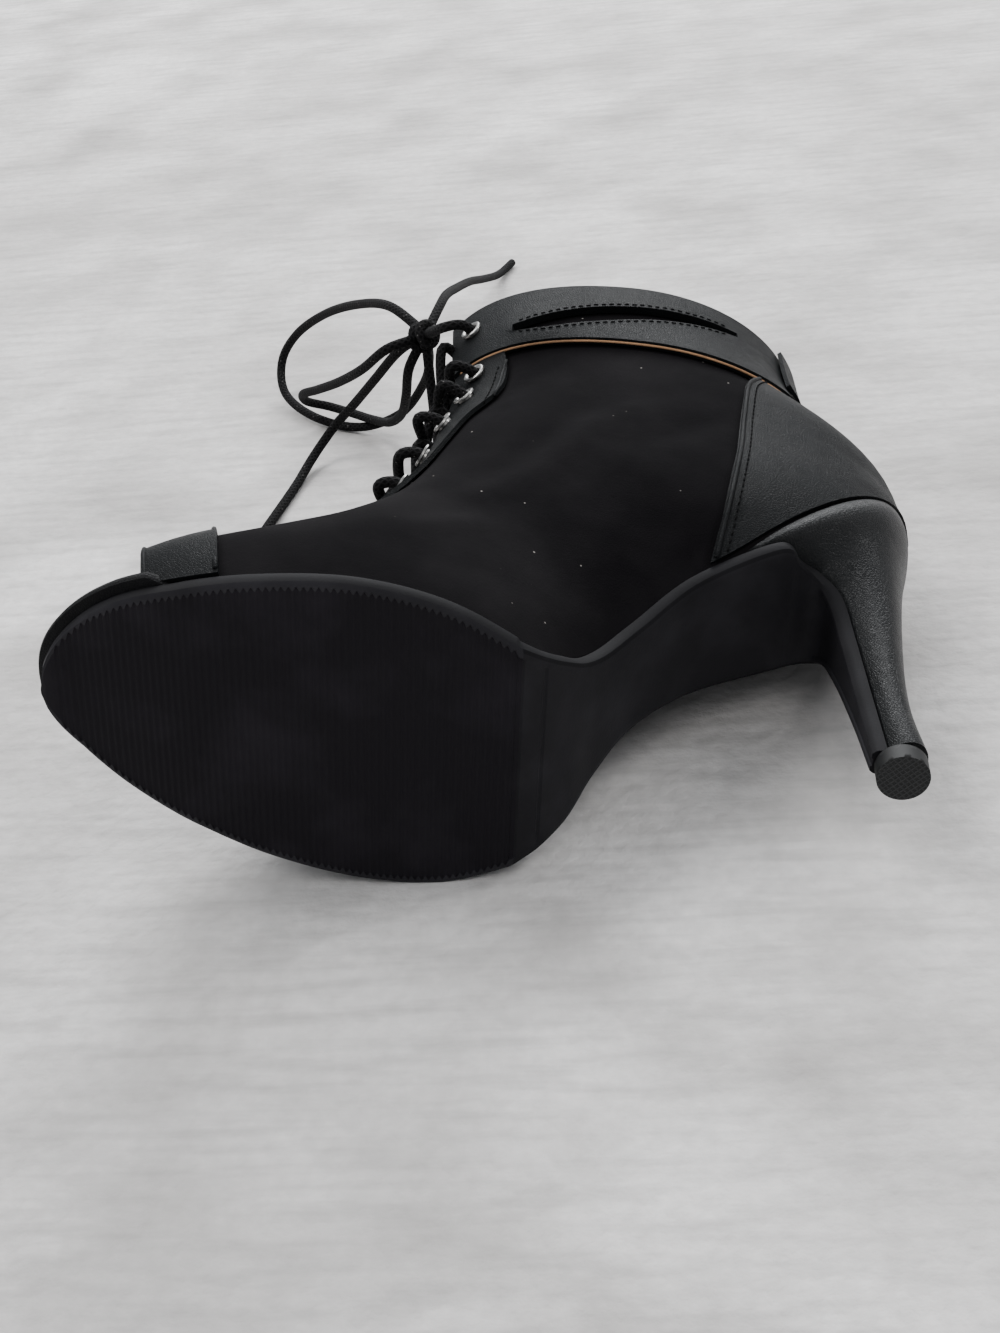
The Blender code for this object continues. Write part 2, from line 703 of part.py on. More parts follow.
def build_strap(finish):
    """Ankle band with a long slot on each side, one wall with its slots left open."""
    bm = bmesh.new()
    shares = np.linspace(0, 1, STRAP_COLUMNS + 1)
    for sign in (1, -1):
        grid = []
        for share in shares:
            inside = (share - SLOT_BACK) / (SLOT_FRONT - SLOT_BACK)
            open_slot = 0 <= inside <= 1
            swell = math.sin(math.pi * min(max(inside, 0.0), 1.0)) ** 0.5 if open_slot else 0.0
            reach = SLOT_HALF * (SLOT_END_HALF + (1 - SLOT_END_HALF) * swell)
            column = []
            for level in (0.0, STRAP_STEP, SLOT_LEVEL - reach, SLOT_LEVEL + reach, 1.0):
                row = STRAP_ROW + (COLLAR_ROW - STRAP_ROW) * level
                side = upper_side(row, sign)
                last = side.length - throat_arc(row) - FACING_MARGIN
                column.append(bm.verts.new(side.at(last * share)))
            grid.append((inside, column))
        for (inside_a, a), (inside_b, b) in zip(grid, grid[1:]):
            middle = (inside_a + inside_b) / 2
            for level in range(4):
                if level == 2 and 0 < middle < 1:
                    continue
                corners = (a[level], a[level + 1], b[level + 1], b[level])
                bm.faces.new(corners if sign > 0 else reversed(corners))
    bmesh.ops.remove_doubles(bm, verts=bm.verts, dist=WELD)
    return make_object("ankle_strap", wall(bm, GAP, GAP + STRAP_WALL), finish)


def build_strap_tab(finish):
    start = STRAP_ROW + (COLLAR_ROW - STRAP_ROW) * TAB_START
    rows = np.linspace(start, COLLAR_ROW, TAB_ROWS)
    flat = sheet(rows, lambda row, side: np.linspace(0.0, TAB_HALF, TAB_COLUMNS + 1))
    low = GAP + STRAP_WALL + GAP
    return make_object("back_tab", wall(flat, low, low + OVERLAY_WALL), finish)


def eyelet_place(number, sign):
    """Row, arc, point and normal of an eyelet, and the height of the leather under it."""
    row = EYELET_ROWS[number]
    on_strap = row > STRAP_ROW
    arc = sign * (throat_arc(row) + EYELET_EDGE)
    leather = GAP + (STRAP_WALL if on_strap else OVERLAY_WALL)
    point, normal = surface_frame(row, arc)
    return row, arc, point, normal, leather


def turned_frame(point, normal):
    """Matrix that carries the local z axis onto a normal at a point."""
    return Matrix.Translation(point) @ normal.to_track_quat("Z", "Y").to_matrix().to_4x4()


def build_eyelet(name, number, sign, finish):
    _, _, point, normal, leather = eyelet_place(number, sign)
    barrel = EYELET_BORE + EYELET_SKIN
    depth = leather + UPPER_WALL + GAP
    outline = ((EYELET_BORE, -depth), (barrel, -depth), (barrel, GAP), (EYELET_RADIUS, GAP),
               (EYELET_RADIUS - 0.5 * EYELET_LIP, GAP + EYELET_LIP),
               (EYELET_BORE, GAP + EYELET_LIP))
    bm = bmesh.new()
    rings = []
    for i in range(EYELET_SIDES):
        angle = 2 * math.pi * i / EYELET_SIDES
        ring = [bm.verts.new((r * math.cos(angle), r * math.sin(angle), h)) for r, h in outline]
        rings.append(ring)
    for i in range(EYELET_SIDES):
        a, b = rings[i], rings[(i + 1) % EYELET_SIDES]
        for j in range(len(outline)):
            k = (j + 1) % len(outline)
            bm.faces.new((a[j], b[j], b[k], a[k]))
    bm.transform(turned_frame(point + normal * leather, normal))
    return make_object(name, bm, finish)


def build_eyelet_cutter():
    """All the bores that the eyelets pass through."""
    bm = bmesh.new()
    for number in range(len(EYELET_ROWS)):
        for sign in (1, -1):
            _, _, point, normal, _ = eyelet_place(number, sign)
            radius = EYELET_BORE + EYELET_SKIN + GAP
            bmesh.ops.create_cone(bm, cap_ends=True, segments=EYELET_SIDES, radius1=radius,
                                  radius2=radius, depth=CUT_DEPTH,
                                  matrix=turned_frame(point, normal))
    cutter = make_object("eyelet_cutter", bm, material("cutter", (0.5, 0.5, 0.5), 0.5))
    cutter.hide_render = True
    cutter.display_type = "WIRE"
    return cutter


def cut(item, cutter):
    bore = item.modifiers.new("eyelet_bores", "BOOLEAN")
    bore.operation = "DIFFERENCE"
    bore.object = cutter


def knot_side(leave):
    """Point just clear of the knot in a direction."""
    return KNOT + leave.normalized() * (KNOT_RADIUS + GAP)


def lace_route(first_sign, knot):
    """Zigzag of one lace half from the lowest eyelet to the knot."""
    route = []
    sign = first_sign
    clear = 2 * GAP + EYELET_LIP + LACE_DIAMETER / 2
    for number in range(len(EYELET_ROWS)):
        row, arc, point, normal, leather = eyelet_place(number, sign)
        route.append(point + normal * (leather + clear))
        if number + 1 < len(EYELET_ROWS):
            step = EYELET_ROWS[number + 1] - row
            edge = throat_arc(row) * CROSS_REACH
            route.append(raised(row + step * CROSS_START, sign * edge, LACE_RISE + leather))
            route.append(raised(row + step * CROSS_END, -sign * edge, LACE_RISE + leather))
        sign = -sign
    last = raised(row, arc * LAST_REACH, LACE_RISE + leather)
    route.append(last)
    route.append(knot + (last - knot).normalized() * (KNOT_RADIUS + GAP))
    return route


def build_laces(finish, frame):
    """Both lace halves joined where they cross, with the bar over the lowest eyelets."""
    knot = frame.inverted() @ KNOT
    first = lace_route(1, knot)
    second = lace_route(-1, knot)
    middle = raised(EYELET_ROWS[0], 0.0, LACE_RISE + OVERLAY_WALL)
    tubes = []
    for name, route in (("lace_first", [second[0], middle] + first), ("lace_second", second)):
        bm = tube(smooth_path(route, LACE_STEPS), LACE_DIAMETER / 2, LACE_SIDES)
        tubes.append(make_object(name, bm, finish))
    laces, other = tubes
    laces.name = "lace_crossings"
    other.hide_render = True
    other.display_type = "WIRE"
    union = laces.modifiers.new("join", "BOOLEAN")
    union.operation = "UNION"
    union.object = other


def build_knot(finish):
    bm = bmesh.new()
    bmesh.ops.create_uvsphere(bm, u_segments=KNOT_SEGMENTS, v_segments=KNOT_RINGS,
                              radius=KNOT_RADIUS)
    bmesh.ops.translate(bm, verts=bm.verts, vec=KNOT)
    return make_object("lace_knot", bm, finish)


def build_cord(name, leaves, points, finish):
    """Cord from the knot through points, and back to the knot where it has two leaves."""
    route = [knot_side(leaves[0])] + [Vector(point) for point in points]
    route += [knot_side(leave) for leave in leaves[1:]]
    curve = bpy.data.curves.new(name, "CURVE")
    curve.dimensions = "3D"
    curve.bevel_depth = LACE_DIAMETER / 2
    curve.bevel_resolution = 2
    curve.use_fill_caps = True
    path = even_path(route, CORD_STEP)
    line = curve.splines.new("POLY")
    line.points.add(len(path) - 1)
    for spot, point in zip(line.points, path):
        spot.co = (*point, 1.0)
    curve.materials.append(finish)
    item = bpy.data.objects.new(name, curve)
    bpy.context.collection.objects.link(item)
    return item


def mass_centre(items):
    """Centre of volume of closed meshes that share one frame."""
    total, moment = 0.0, Vector((0, 0, 0))
    for item in items:
        bm = bmesh.new()
        bm.from_mesh(item.data)
        bmesh.ops.triangulate(bm, faces=bm.faces)
        for face in bm.faces:
            a, b, c = (v.co for v in face.verts)
            share = a.dot(b.cross(c)) / 6
            total += share
            moment += (a + b + c) / 4 * share
        bm.free()
    return moment / total


def lying_frame(items):
    """Matrix that lays the shoe on its outer side, on the three points that carry it.

    Of the faces of the convex hull, it is the one under the centre of mass.
    """
    bm = bmesh.new()
    for item in items:
        bm.from_mesh(item.data)
    bmesh.ops.convex_hull(bm, input=bm.verts, use_existing_faces=False)
    centre = mass_centre(items)
    outer_side = Vector((0, -1, 0))
    down = outer_side
    for face in bm.faces:
        if len(face.verts) != 3 or face.normal.dot(outer_side) < OUTER_LEAN:
            continue
        corners = [v.co for v in face.verts]
        foot = centre + face.normal * (corners[0] - centre).dot(face.normal)
        if (foot - centre).dot(face.normal) > 0 and intersect_point_tri(foot, *corners):
            down = face.normal.copy()
    up = -down
    shoe_up = Vector((0, 0, 1))
    north = (shoe_up - up * shoe_up.dot(up)).normalized()
    east = north.cross(up)
    turn = Matrix((east, north, up)).to_4x4()
    points = [turn @ v.co for v in bm.verts]
    bm.free()
    low = Vector([min(p[i] for p in points) for i in range(3)])
    high = Vector([max(p[i] for p in points) for i in range(3)])
    middle = (low + high) / 2
    return Matrix.Translation((-middle.x, -middle.y, -low.z)) @ turn


def main():
    for item in list(bpy.data.objects):
        bpy.data.objects.remove(item, do_unlink=True)
    rubber = material("rubber", (0.045, 0.042, 0.048), 0.6)
    leather = material("leather", (0.022, 0.023, 0.024), 0.38)
    suede = material("suede", (0.012, 0.011, 0.012), 0.95)
    insole_skin = material("insole_skin", (0.02, 0.02, 0.022), 0.55)
    nickel = material("nickel", (0.62, 0.62, 0.60), 0.28, 1.0)
    cord = material("cord", (0.02, 0.018, 0.019), 0.8)
    tip_rubber = material("tip_rubber", (0.05, 0.055, 0.055), 0.55)

    upper = build_upper(suede)
    facing_inner = build_facing("facing_inner", 1, leather)
    facing_outer = build_facing("facing_outer", -1, leather)
    strap = build_strap(leather)
    pieces = [build_outsole(rubber), build_heel(leather), build_top_piece(tip_rubber),
              build_insole(insole_skin), upper, build_toe_band(leather),
              build_counter(leather), facing_inner, facing_outer, strap,
              build_strap_tab(leather)]
    cutter = build_eyelet_cutter()
    for item in (upper, facing_inner, facing_outer, strap):
        cut(item, cutter)
    for number in range(len(EYELET_ROWS)):
        for sign, side in ((1, "inner"), (-1, "outer")):
            name = "eyelet_" + side + "_" + str(number + 1)
            pieces.append(build_eyelet(name, number, sign, nickel))
    frame = lying_frame(pieces)
    build_laces(cord, frame)
    holder = bpy.data.objects.new("shoe", None)
    bpy.context.collection.objects.link(holder)
    holder.matrix_world = frame
    for item in bpy.data.objects:
        if item is not holder:
            item.parent = holder
    build_knot(cord)
    build_cord("lace_loop_large", LARGE_LEAVES, LARGE_LOOP, cord)
    build_cord("lace_loop_small", SMALL_LEAVES, SMALL_LOOP, cord)
    build_cord("lace_end_upper", UPPER_LEAVES, UPPER_END, cord)
    build_cord("lace_end_lower", LOWER_LEAVES, LOWER_END, cord)


main()
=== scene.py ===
"""Looks of the high heel lace-up dance shoe, laid on its outer side."""
import json
import math

import bmesh
import bpy
import numpy as np
from mathutils import Matrix, Vector
from mathutils.bvhtree import BVHTree


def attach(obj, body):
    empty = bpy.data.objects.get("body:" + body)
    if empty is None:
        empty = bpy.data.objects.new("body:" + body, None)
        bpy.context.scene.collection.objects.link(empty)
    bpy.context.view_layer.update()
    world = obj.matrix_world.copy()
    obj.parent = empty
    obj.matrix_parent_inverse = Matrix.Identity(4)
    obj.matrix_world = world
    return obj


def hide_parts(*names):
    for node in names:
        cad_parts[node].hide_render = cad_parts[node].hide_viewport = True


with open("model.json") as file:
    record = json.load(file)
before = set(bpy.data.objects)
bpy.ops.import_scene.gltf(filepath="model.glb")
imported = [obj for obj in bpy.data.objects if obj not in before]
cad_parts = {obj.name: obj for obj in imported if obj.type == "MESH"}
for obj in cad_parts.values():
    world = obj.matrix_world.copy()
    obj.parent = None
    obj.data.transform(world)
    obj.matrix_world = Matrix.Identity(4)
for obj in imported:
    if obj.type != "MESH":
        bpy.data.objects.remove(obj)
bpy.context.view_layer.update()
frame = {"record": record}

# The shoe's own frame in the lying pose: x to the toe, y to the inner side, z up from the tread
TIP_FROM_BACK = 0.0135
MOUNTS = {mount["name"]: mount for mount in frame["record"]["mounts"]}
TREAD = Vector(MOUNTS["tread"]["pos_m"])
TIP = Vector(MOUNTS["heel_tip"]["pos_m"])
SHOE_Z = -Vector(MOUNTS["tread"]["axis"]).normalized()
SHOE_X = (TREAD - TIP - SHOE_Z * (TREAD - TIP).dot(SHOE_Z)).normalized()
SHOE_Y = SHOE_Z.cross(SHOE_X)
SHOE_ORIGIN = TIP - SHOE_X * TIP_FROM_BACK

SIDES = ((1, "inner"), (-1, "outer"))
OTHER = {"inner": "outer", "outer": "inner"}

# Camera in the shoe's frame, as the photograph was taken
CAMERA_PLACE = (0.0858, 0.2463, -0.3320)
CAMERA_FORWARD = (0.0413, -0.5591, 0.8281)
CAMERA_UP = (0.0679, 0.8284, 0.5560)
CAMERA_LENS = 50.82
SENSOR = 36.0

# Cord of the lace, and the routes of its free runs, as the solids have them
LACE_DIAMETER = 0.0030
BRAID_RATE = 520.0
BRAID_TURNS = 6.0
CORD_STEP = 0.0022
SPINE_STEP = 0.0060
LACING_STEP = 0.0011
KNOT = Vector((-0.0324, 0.0946, 0.0550))
KNOT_RADIUS = 0.0048
LARGE_LEAVES = ((-0.55, 0.72, 0.42), (-0.05, 0.65, -0.76))
LARGE_LOOP = (
    (-0.0450, 0.1120, 0.0580), (-0.0590, 0.1360, 0.0495), (-0.0760, 0.1630, 0.0360),
    (-0.0910, 0.1795, 0.0225), (-0.0990, 0.1825, 0.0112), (-0.0970, 0.1710, 0.0038),
    (-0.0840, 0.1540, 0.0022), (-0.0670, 0.1440, 0.0022), (-0.0510, 0.1375, 0.0095),
    (-0.0400, 0.1270, 0.0250), (-0.0345, 0.1090, 0.0410),
)
SMALL_LEAVES = ((-0.94, -0.29, -0.16), (-0.55, -0.25, -0.80))
SMALL_LOOP = (
    (-0.0440, 0.0910, 0.0530), (-0.0540, 0.0990, 0.0435), (-0.0650, 0.1140, 0.0330),
    (-0.0760, 0.1300, 0.0235), (-0.0840, 0.1425, 0.0165), (-0.0850, 0.1505, 0.0100),
    (-0.0785, 0.1535, 0.0062), (-0.0700, 0.1485, 0.0055), (-0.0610, 0.1390, 0.0070),
    (-0.0530, 0.1260, 0.0120), (-0.0460, 0.1110, 0.0220), (-0.0415, 0.0985, 0.0340),
    (-0.0384, 0.0922, 0.0455),
)
UPPER_LEAVES = ((0.25, 0.95, 0.20),)
UPPER_END = (
    (-0.0293, 0.1120, 0.0570), (-0.0295, 0.1300, 0.0530), (-0.0305, 0.1620, 0.0420),
    (-0.0315, 0.2040, 0.0270), (-0.0310, 0.2430, 0.0120), (-0.0285, 0.2680, 0.0034),
    (-0.0245, 0.2830, 0.0018),
)
LOWER_LEAVES = ((-0.80, 0.45, -0.40),)
LOWER_END = (
    (-0.0430, 0.1010, 0.0470), (-0.0530, 0.1120, 0.0340), (-0.0630, 0.1230, 0.0210),
    (-0.0710, 0.1280, 0.0120), (-0.0765, 0.1250, 0.0064), (-0.0800, 0.1180, 0.0034),
    (-0.0825, 0.1070, 0.0019), (-0.0850, 0.0935, 0.0017), (-0.0875, 0.0800, 0.0017),
    (-0.0890, 0.0700, 0.0017),
)
KNOT_AXIS = Vector((-0.62, 0.50, -0.42)).normalized()
KNOT_TURNS = ((-0.0022, 0.0031, 0.0), (0.0016, 0.0032, 1.1))
KNOT_STEPS = 24
KNOT_PITCH = 0.0016
KNOT_CORE = (-0.0058, -0.003, 0.0, 0.003, 0.0058)
KNOT_CORE_WIDTH = 0.62

# Lace at an eyelet: steps along the eyelet's axis and toward the throat, and rises of the arcs
LACE_START = (-0.0018, 0.0022)
LACE_OUT = (0.0024, 0.0008)
LACE_OVER = (0.0046, 0.0048)
LACE_AWAY = (0.0052, 0.0052)
LACE_EDGE = (0.0004, 0.0100)
LACE_UNDER = (-0.0022, 0.0072)
LACE_ARCS = (0.0078, 0.0044)

# Eyelets: section of the rolled ring, as radius and height from the top; None is the lower end
EYELET_PAIRS = 7
EYELET_SIDES = 32
EYELET_SECTION = (
    (0.00190, None), (0.00225, None), (0.00225, -0.0007), (0.0030, -0.0007), (0.00332, -0.0005),
    (0.00325, -0.0001), (0.0029, 0.0001), (0.0024, 0.00005), (0.0020, -0.0003),
    (0.00190, -0.0007),
)

# Sizes of the shoe in metres, and the outline of its sole as shares of them
SOLE_LENGTH = 0.2043
HALF_BALL = 0.0403
RIM_HEIGHT = 0.0998
COLLAR_HEIGHT = 0.1950
SOLE_THICK = 0.0030
SOLE_BEVEL = 0.0013
SOLE_ROWS = np.array([
    # x, z, inner, outer
    (1.000, 0.062, 0.140, 0.010),
    (0.991, 0.056, 0.290, 0.075),
    (0.962, 0.045, 0.551, 0.273),
    (0.908, 0.022, 0.760, 0.485),
    (0.838, 0.000, 0.896, 0.677),
    (0.754, 0.000, 0.979, 0.872),
    (0.654, 0.000, 1.000, 0.994),
    (0.560, 0.000, 0.898, 0.989),
    (0.481, 0.000, 0.682, 0.834),
    (0.427, 0.079, 0.480, 0.675),
    (0.394, 0.193, 0.333, 0.511),
    (0.351, 0.336, 0.318, 0.402),
    (0.285, 0.477, 0.442, 0.371),
    (0.192, 0.573, 0.561, 0.330),
    (0.168, 0.590, 0.452, 0.310),
    (0.147, 0.597, 0.340, 0.290),
    (0.129, 0.560, 0.250, 0.235),
    (0.118, 0.440, 0.175, 0.180),
    (0.107, 0.250, 0.120, 0.120),
    (0.0965, 0.052, 0.080, 0.080),
])

# Tread: ribs straight across the forepart, inside a smooth rim that they cut like a comb
FOREPART_ROWS = 9
RIB_PITCH = 0.0016
RIB_DEPTH = 0.00035
TREAD_REAR = 0.0985
TREAD_STEP = 0.0012
STEP_DEPTH = 0.00045
SECOND_LINE = 0.0925
SECOND_DEPTH = 0.00025
RIM_WIDTH = 0.0027
COMB = 0.0012
HATCH_PITCH = 0.0011

# Raised edges of the sole's flap on the heel's breast
FLAP_ROW = 15.2
FLAP_EDGE = 0.0011
FLAP_LIFT = 0.0004

# Round end of the sole, and the strip of the insole that stands out round it
TOE_END = 0.2052
TOE_RIM = 0.0031
RIM_START = 3.80
RIM_TAPER = 0.28
RIM_TUCK = -0.0035
RIM_LEVELS = (0.0032, 0.0038, 0.0051, 0.0057)
INSOLE_CUT = 0.1960
INSOLE_SHORTER = 0.75
INSOLE_NARROWER = 0.5
INSOLE_MIDDLE = 0.0035

# Strap: raw layer along its lower edge, suede behind its slots
RAW_RADIUS = 0.00034
RAW_DROP = 0.0002
RAW_STEP = 0.0025
RAW_OVERLAP = 0.1
STRAP_CENTRE = 0.06
LINING_COLUMNS = (0.041, 0.1165, 0.0015)
LINING_SPAN = (0.1572, 0.1815)
LINING_THICK = 0.0006
LINING_GAP = 0.0004
LINING_PARTS = 7

# Beads and stitches: shifts from the seam lines, radii, and steps along the lines
COUNTER_BEAD = (-0.0009, 0.00068)
FACING_BEAD = (0.0016, 0.00060)
BAND_BEAD = 0.00060
BEAD_STEP = 0.0012
COUNTER_STITCH = -0.0031
FACING_STITCH = 0.0034
SLOT_STITCH = 0.0013
STITCH_STEP = 0.0006
# Pitch, length and radius of the stitches
STRAP_STITCHES = (0.0022, 0.0015, 0.00020)
PANEL_STITCHES = (0.0024, 0.0017, 0.00024)
# Middle of the toe band, and the directions round it in degrees where its edges are looked for
BAND_MIDDLE = (0.1735, 0.012)
BAND_TURNS = (-104.0, 104.1, 4.0)

# Lines on the leather in the shoe's x and z, followed on both sides of the shoe
COUNTER_SEAM = tuple((x * SOLE_LENGTH, z * COLLAR_HEIGHT) for x, z in (
    (0.312, 0.130), (0.287, 0.217), (0.263, 0.330), (0.244, 0.468), (0.235, 0.581),
    (0.226, 0.675), (0.213, 0.725), (0.205, 0.752),
))
FACING_EDGE = (
    (0.1345, 0.0369), (0.1300, 0.0524), (0.1247, 0.0704), (0.1199, 0.0840), (0.1170, 0.0946),
    (0.1144, 0.1103), (0.1117, 0.1276), (0.1104, 0.1452), (0.1099, 0.1500),
)

# Strap's slots: columns and heights where their edges are looked for, reach from the middle line
SLOT_COLUMNS = (0.050, 0.112, 0.002)
SLOT_HEIGHTS = (0.150, 0.186, 0.0003)
SLOT_REACH = 0.0075
# Middle line of the slots: x, z and how far the slot is opened there
SLOT_LINE = (
    (0.0440, 0.1725, 0.80), (0.0520, 0.1712, 0.80), (0.0600, 0.1702, 0.90),
    (0.0720, 0.1688, 1.15), (0.0860, 0.1670, 1.50), (0.1000, 0.1650, 1.65),
    (0.1080, 0.1642, 1.50), (0.1130, 0.1640, 1.20),
)

# Half width of the middle strip that has no creases, and the creases as soft lines of the suede:
# x and z along the line, height (troughs below zero), half width
UNCREASED = 0.012
CREASES = (
    (((0.1240, 0.0500), (0.1118, 0.0612), (0.1007, 0.0748), (0.0932, 0.0881), (0.0857, 0.1019),
      (0.0760, 0.1130), (0.0640, 0.1190)), 0.0011, 0.0050),
    (((0.1150, 0.0700), (0.1040, 0.0830), (0.0965, 0.0970), (0.0890, 0.1120), (0.0800, 0.1240)),
     -0.0012, 0.0060),
    (((0.0800, 0.0900), (0.0742, 0.0932), (0.0658, 0.0994), (0.0588, 0.1070), (0.0540, 0.1100)),
     -0.0008, 0.0045),
    (((0.1280, 0.0290), (0.1177, 0.0394), (0.1110, 0.0450), (0.1040, 0.0450)), 0.0009, 0.0045),
    (((0.1000, 0.0580), (0.0930, 0.0480), (0.0880, 0.0360), (0.0860, 0.0260)), -0.0010, 0.0060),
    (((0.0740, 0.0740), (0.0690, 0.0640), (0.0670, 0.0540)), -0.0007, 0.0060),
    (((0.0820, 0.0500), (0.0770, 0.0600), (0.0700, 0.0800)), 0.0007, 0.0060),
)


def shoe_point(x, y, z):
    """World place of a point of the shoe's own frame."""
    return SHOE_ORIGIN + SHOE_X * x + SHOE_Y * y + SHOE_Z * z


def shoe_direction(x, y, z):
    return SHOE_X * x + SHOE_Y * y + SHOE_Z * z


def in_shoe(point):
    """Coordinates of a world point in the shoe's own frame."""
    offset = Vector(point) - SHOE_ORIGIN
    return Vector((offset.dot(SHOE_X), offset.dot(SHOE_Y), offset.dot(SHOE_Z)))


def deselect():
    bpy.ops.object.select_all(action="DESELECT")


def activate(item):
    deselect()
    item.select_set(True)
    bpy.context.view_layer.objects.active = item


class Wire:
    """A shader socket that adds Math nodes when it is used in arithmetic."""

    def __init__(self, finish, socket):
        self.finish = finish
        self.socket = socket

    def math(self, operation, *others):
        values = dict(enumerate((self,) + others))
        return self.finish.node("ShaderNodeMath", {"operation": operation}, values)

    def __add__(self, other):
        return self.math("ADD", other)

    def __mul__(self, other):
        return self.math("MULTIPLY", other)

    def __sub__(self, other):
        return self.math("SUBTRACT", other)

    def over(self, level):
        return self.math("GREATER_THAN", level)

    def clamped(self):
        return self.finish.node("ShaderNodeClamp", {}, {0: self})

    def ramp(self, low, high, start=0.0, end=1.0):
        """Linear change from start at low to end at high, held outside."""
        values = {0: self, 1: low, 2: high, 3: start, 4: end}
        return self.finish.node("ShaderNodeMapRange", {"clamp": True}, values)


class Finish:
    """A material made node by node on one Principled shader."""

    def __init__(self, name, colour, roughness, **constants):
        self.material = bpy.data.materials.new(name)
        self.material.use_nodes = True
        self.tree = self.material.node_tree
        self.shader = self.tree.nodes["Principled BSDF"]
        self.set("Base Color", (*colour, 1.0))
        self.set("Roughness", roughness)
        for socket, value in constants.items():
            self.set(socket.replace("_", " "), value)
        self.coordinates = self.node("ShaderNodeTexCoord", {}, {}, "Object")

    def set(self, socket, value):
        if isinstance(value, Wire):
            self.tree.links.new(value.socket, self.shader.inputs[socket])
        else:
            self.shader.inputs[socket].default_value = value

    def node(self, kind, settings, values, output=0):
        item = self.tree.nodes.new(kind)
        for name, value in settings.items():
            setattr(item, name, value)
        for socket, value in values.items():
            if isinstance(value, Wire):
                self.tree.links.new(value.socket, item.inputs[socket])
            else:
                item.inputs[socket].default_value = value
        return Wire(self, item.outputs[output])

    def noise(self, scale, detail, where=None):
        values = {"Vector": where or self.coordinates, "Scale": scale, "Detail": detail}
        return self.node("ShaderNodeTexNoise", {}, values, "Fac")

    def cells(self, scale, feature="F1", output="Distance"):
        values = {"Vector": self.coordinates, "Scale": scale}
        return self.node("ShaderNodeTexVoronoi", {"feature": feature}, values, output)

    def along(self, direction, where=None):
        """Part of a vector along a direction, by default of the place in metres."""
        values = {0: where or self.coordinates, 1: tuple(direction)}
        return self.node("ShaderNodeVectorMath", {"operation": "DOT_PRODUCT"}, values, "Value")

    def blend(self, share, low, high):
        """Colour between two others."""
        wire = self.tree.nodes.new("ShaderNodeMix")
        wire.data_type = "RGBA"
        self.tree.links.new(share.socket, wire.inputs["Factor"])
        for socket, value in ((wire.inputs[6], low), (wire.inputs[7], high)):
            if isinstance(value, Wire):
                self.tree.links.new(value.socket, socket)
            else:
                socket.default_value = (*value, 1.0)
        return Wire(self, wire.outputs[2])

    def bump(self, height, distance, strength=1.0, under=None):
        values = {"Height": height, "Distance": distance, "Strength": strength}
        if under:
            values["Normal"] = under
        return self.node("ShaderNodeBump", {}, values)


def specks(finish, scale, size, share):
    """Mask of sparse small dots: size is their radius in cells, share how many cells hold one."""
    pick = finish.cells(scale, output="Color")
    chosen = finish.node("ShaderNodeSeparateColor", {}, {0: pick}).over(1 - share)
    return finish.cells(scale).ramp(size, size * 0.5) * chosen


def suede_finish():
    """Matt nap with paler patches, streaks and a few specks of dust."""
    finish = Finish("suede", (0.003, 0.0027, 0.003), 0.95, Specular_IOR_Level=0.04)
    patches = finish.noise(26.0, 4.0).ramp(0.42, 0.70)
    streaks = finish.noise(85.0, 3.0).ramp(0.40, 0.75)
    colour = finish.blend(patches * 0.6 + streaks * 0.25, (0.0032, 0.0028, 0.0034),
                          (0.0100, 0.0092, 0.0100))
    dust = specks(finish, 300.0, 0.10, 0.085)
    finish.set("Base Color", finish.blend(dust * 0.8, colour, (0.30, 0.28, 0.26)))
    nap = finish.noise(2600.0, 2.0) * 0.7 + finish.noise(700.0, 3.0) * 0.5
    finish.set("Normal", finish.bump(nap, 0.00018, 0.8))
    return finish.material


def leather_finish(name, colour, shine, grain, gloss):
    """Leather with fine pores over soft wrinkles."""
    finish = Finish(name, colour, shine, Specular_IOR_Level=gloss)
    pores = finish.cells(1500.0, feature="DISTANCE_TO_EDGE").ramp(0.0, 0.18)
    soft = finish.noise(320.0, 4.0)
    wrinkles = finish.noise(90.0, 5.0)
    finish.set("Roughness", (soft * 0.16 + wrinkles * 0.12 + (shine - 0.14)).clamped())
    tint = finish.noise(45.0, 3.0).ramp(0.35, 0.75)
    lighter = tuple(channel * 1.7 for channel in colour)
    finish.set("Base Color", finish.blend(tint, colour, lighter))
    under = finish.bump(wrinkles, 0.0006, 0.25 * grain)
    finish.set("Normal", finish.bump(pores * 0.6 + soft * 0.4, 0.00022, 0.8 * grain, under))
    return finish.material


def rubber_finish(name, colour, roughness):
    finish = Finish(name, colour, roughness, Specular_IOR_Level=0.08)
    dust = finish.noise(60.0, 5.0).ramp(0.45, 0.80)
    finish.set("Base Color", finish.blend(dust, colour, tuple(c * 1.8 for c in colour)))
    finish.set("Normal", finish.bump(finish.noise(1400.0, 3.0), 0.00008, 0.5))
    return finish.material


def hatched_finish():
    """Rubber of the top piece with a fine diagonal crosshatch."""
    finish = Finish("tip_rubber", (0.007, 0.0075, 0.0078), 0.6, Specular_IOR_Level=0.3)
    rate = 2 * math.pi / HATCH_PITCH
    one = (finish.along((SHOE_X + SHOE_Y).normalized()) * rate).math("SINE")
    two = (finish.along((SHOE_X - SHOE_Y).normalized()) * rate).math("SINE")
    facing = finish.along(-SHOE_Z, finish.node("ShaderNodeNewGeometry", {}, {}, "Normal"))
    ridges = one.math("MAXIMUM", two).ramp(0.1, 1.0) * facing.ramp(0.80, 0.95)
    # Painted light and shade: the ridges of the crosshatch are lighter and the grooves between them
    # darker
    finish.set("Base Color", finish.blend(ridges, (0.004, 0.0043, 0.0045), (0.016, 0.017, 0.0175)))
    finish.set("Normal", finish.bump(ridges, 0.0003, 0.9))
    return finish.material


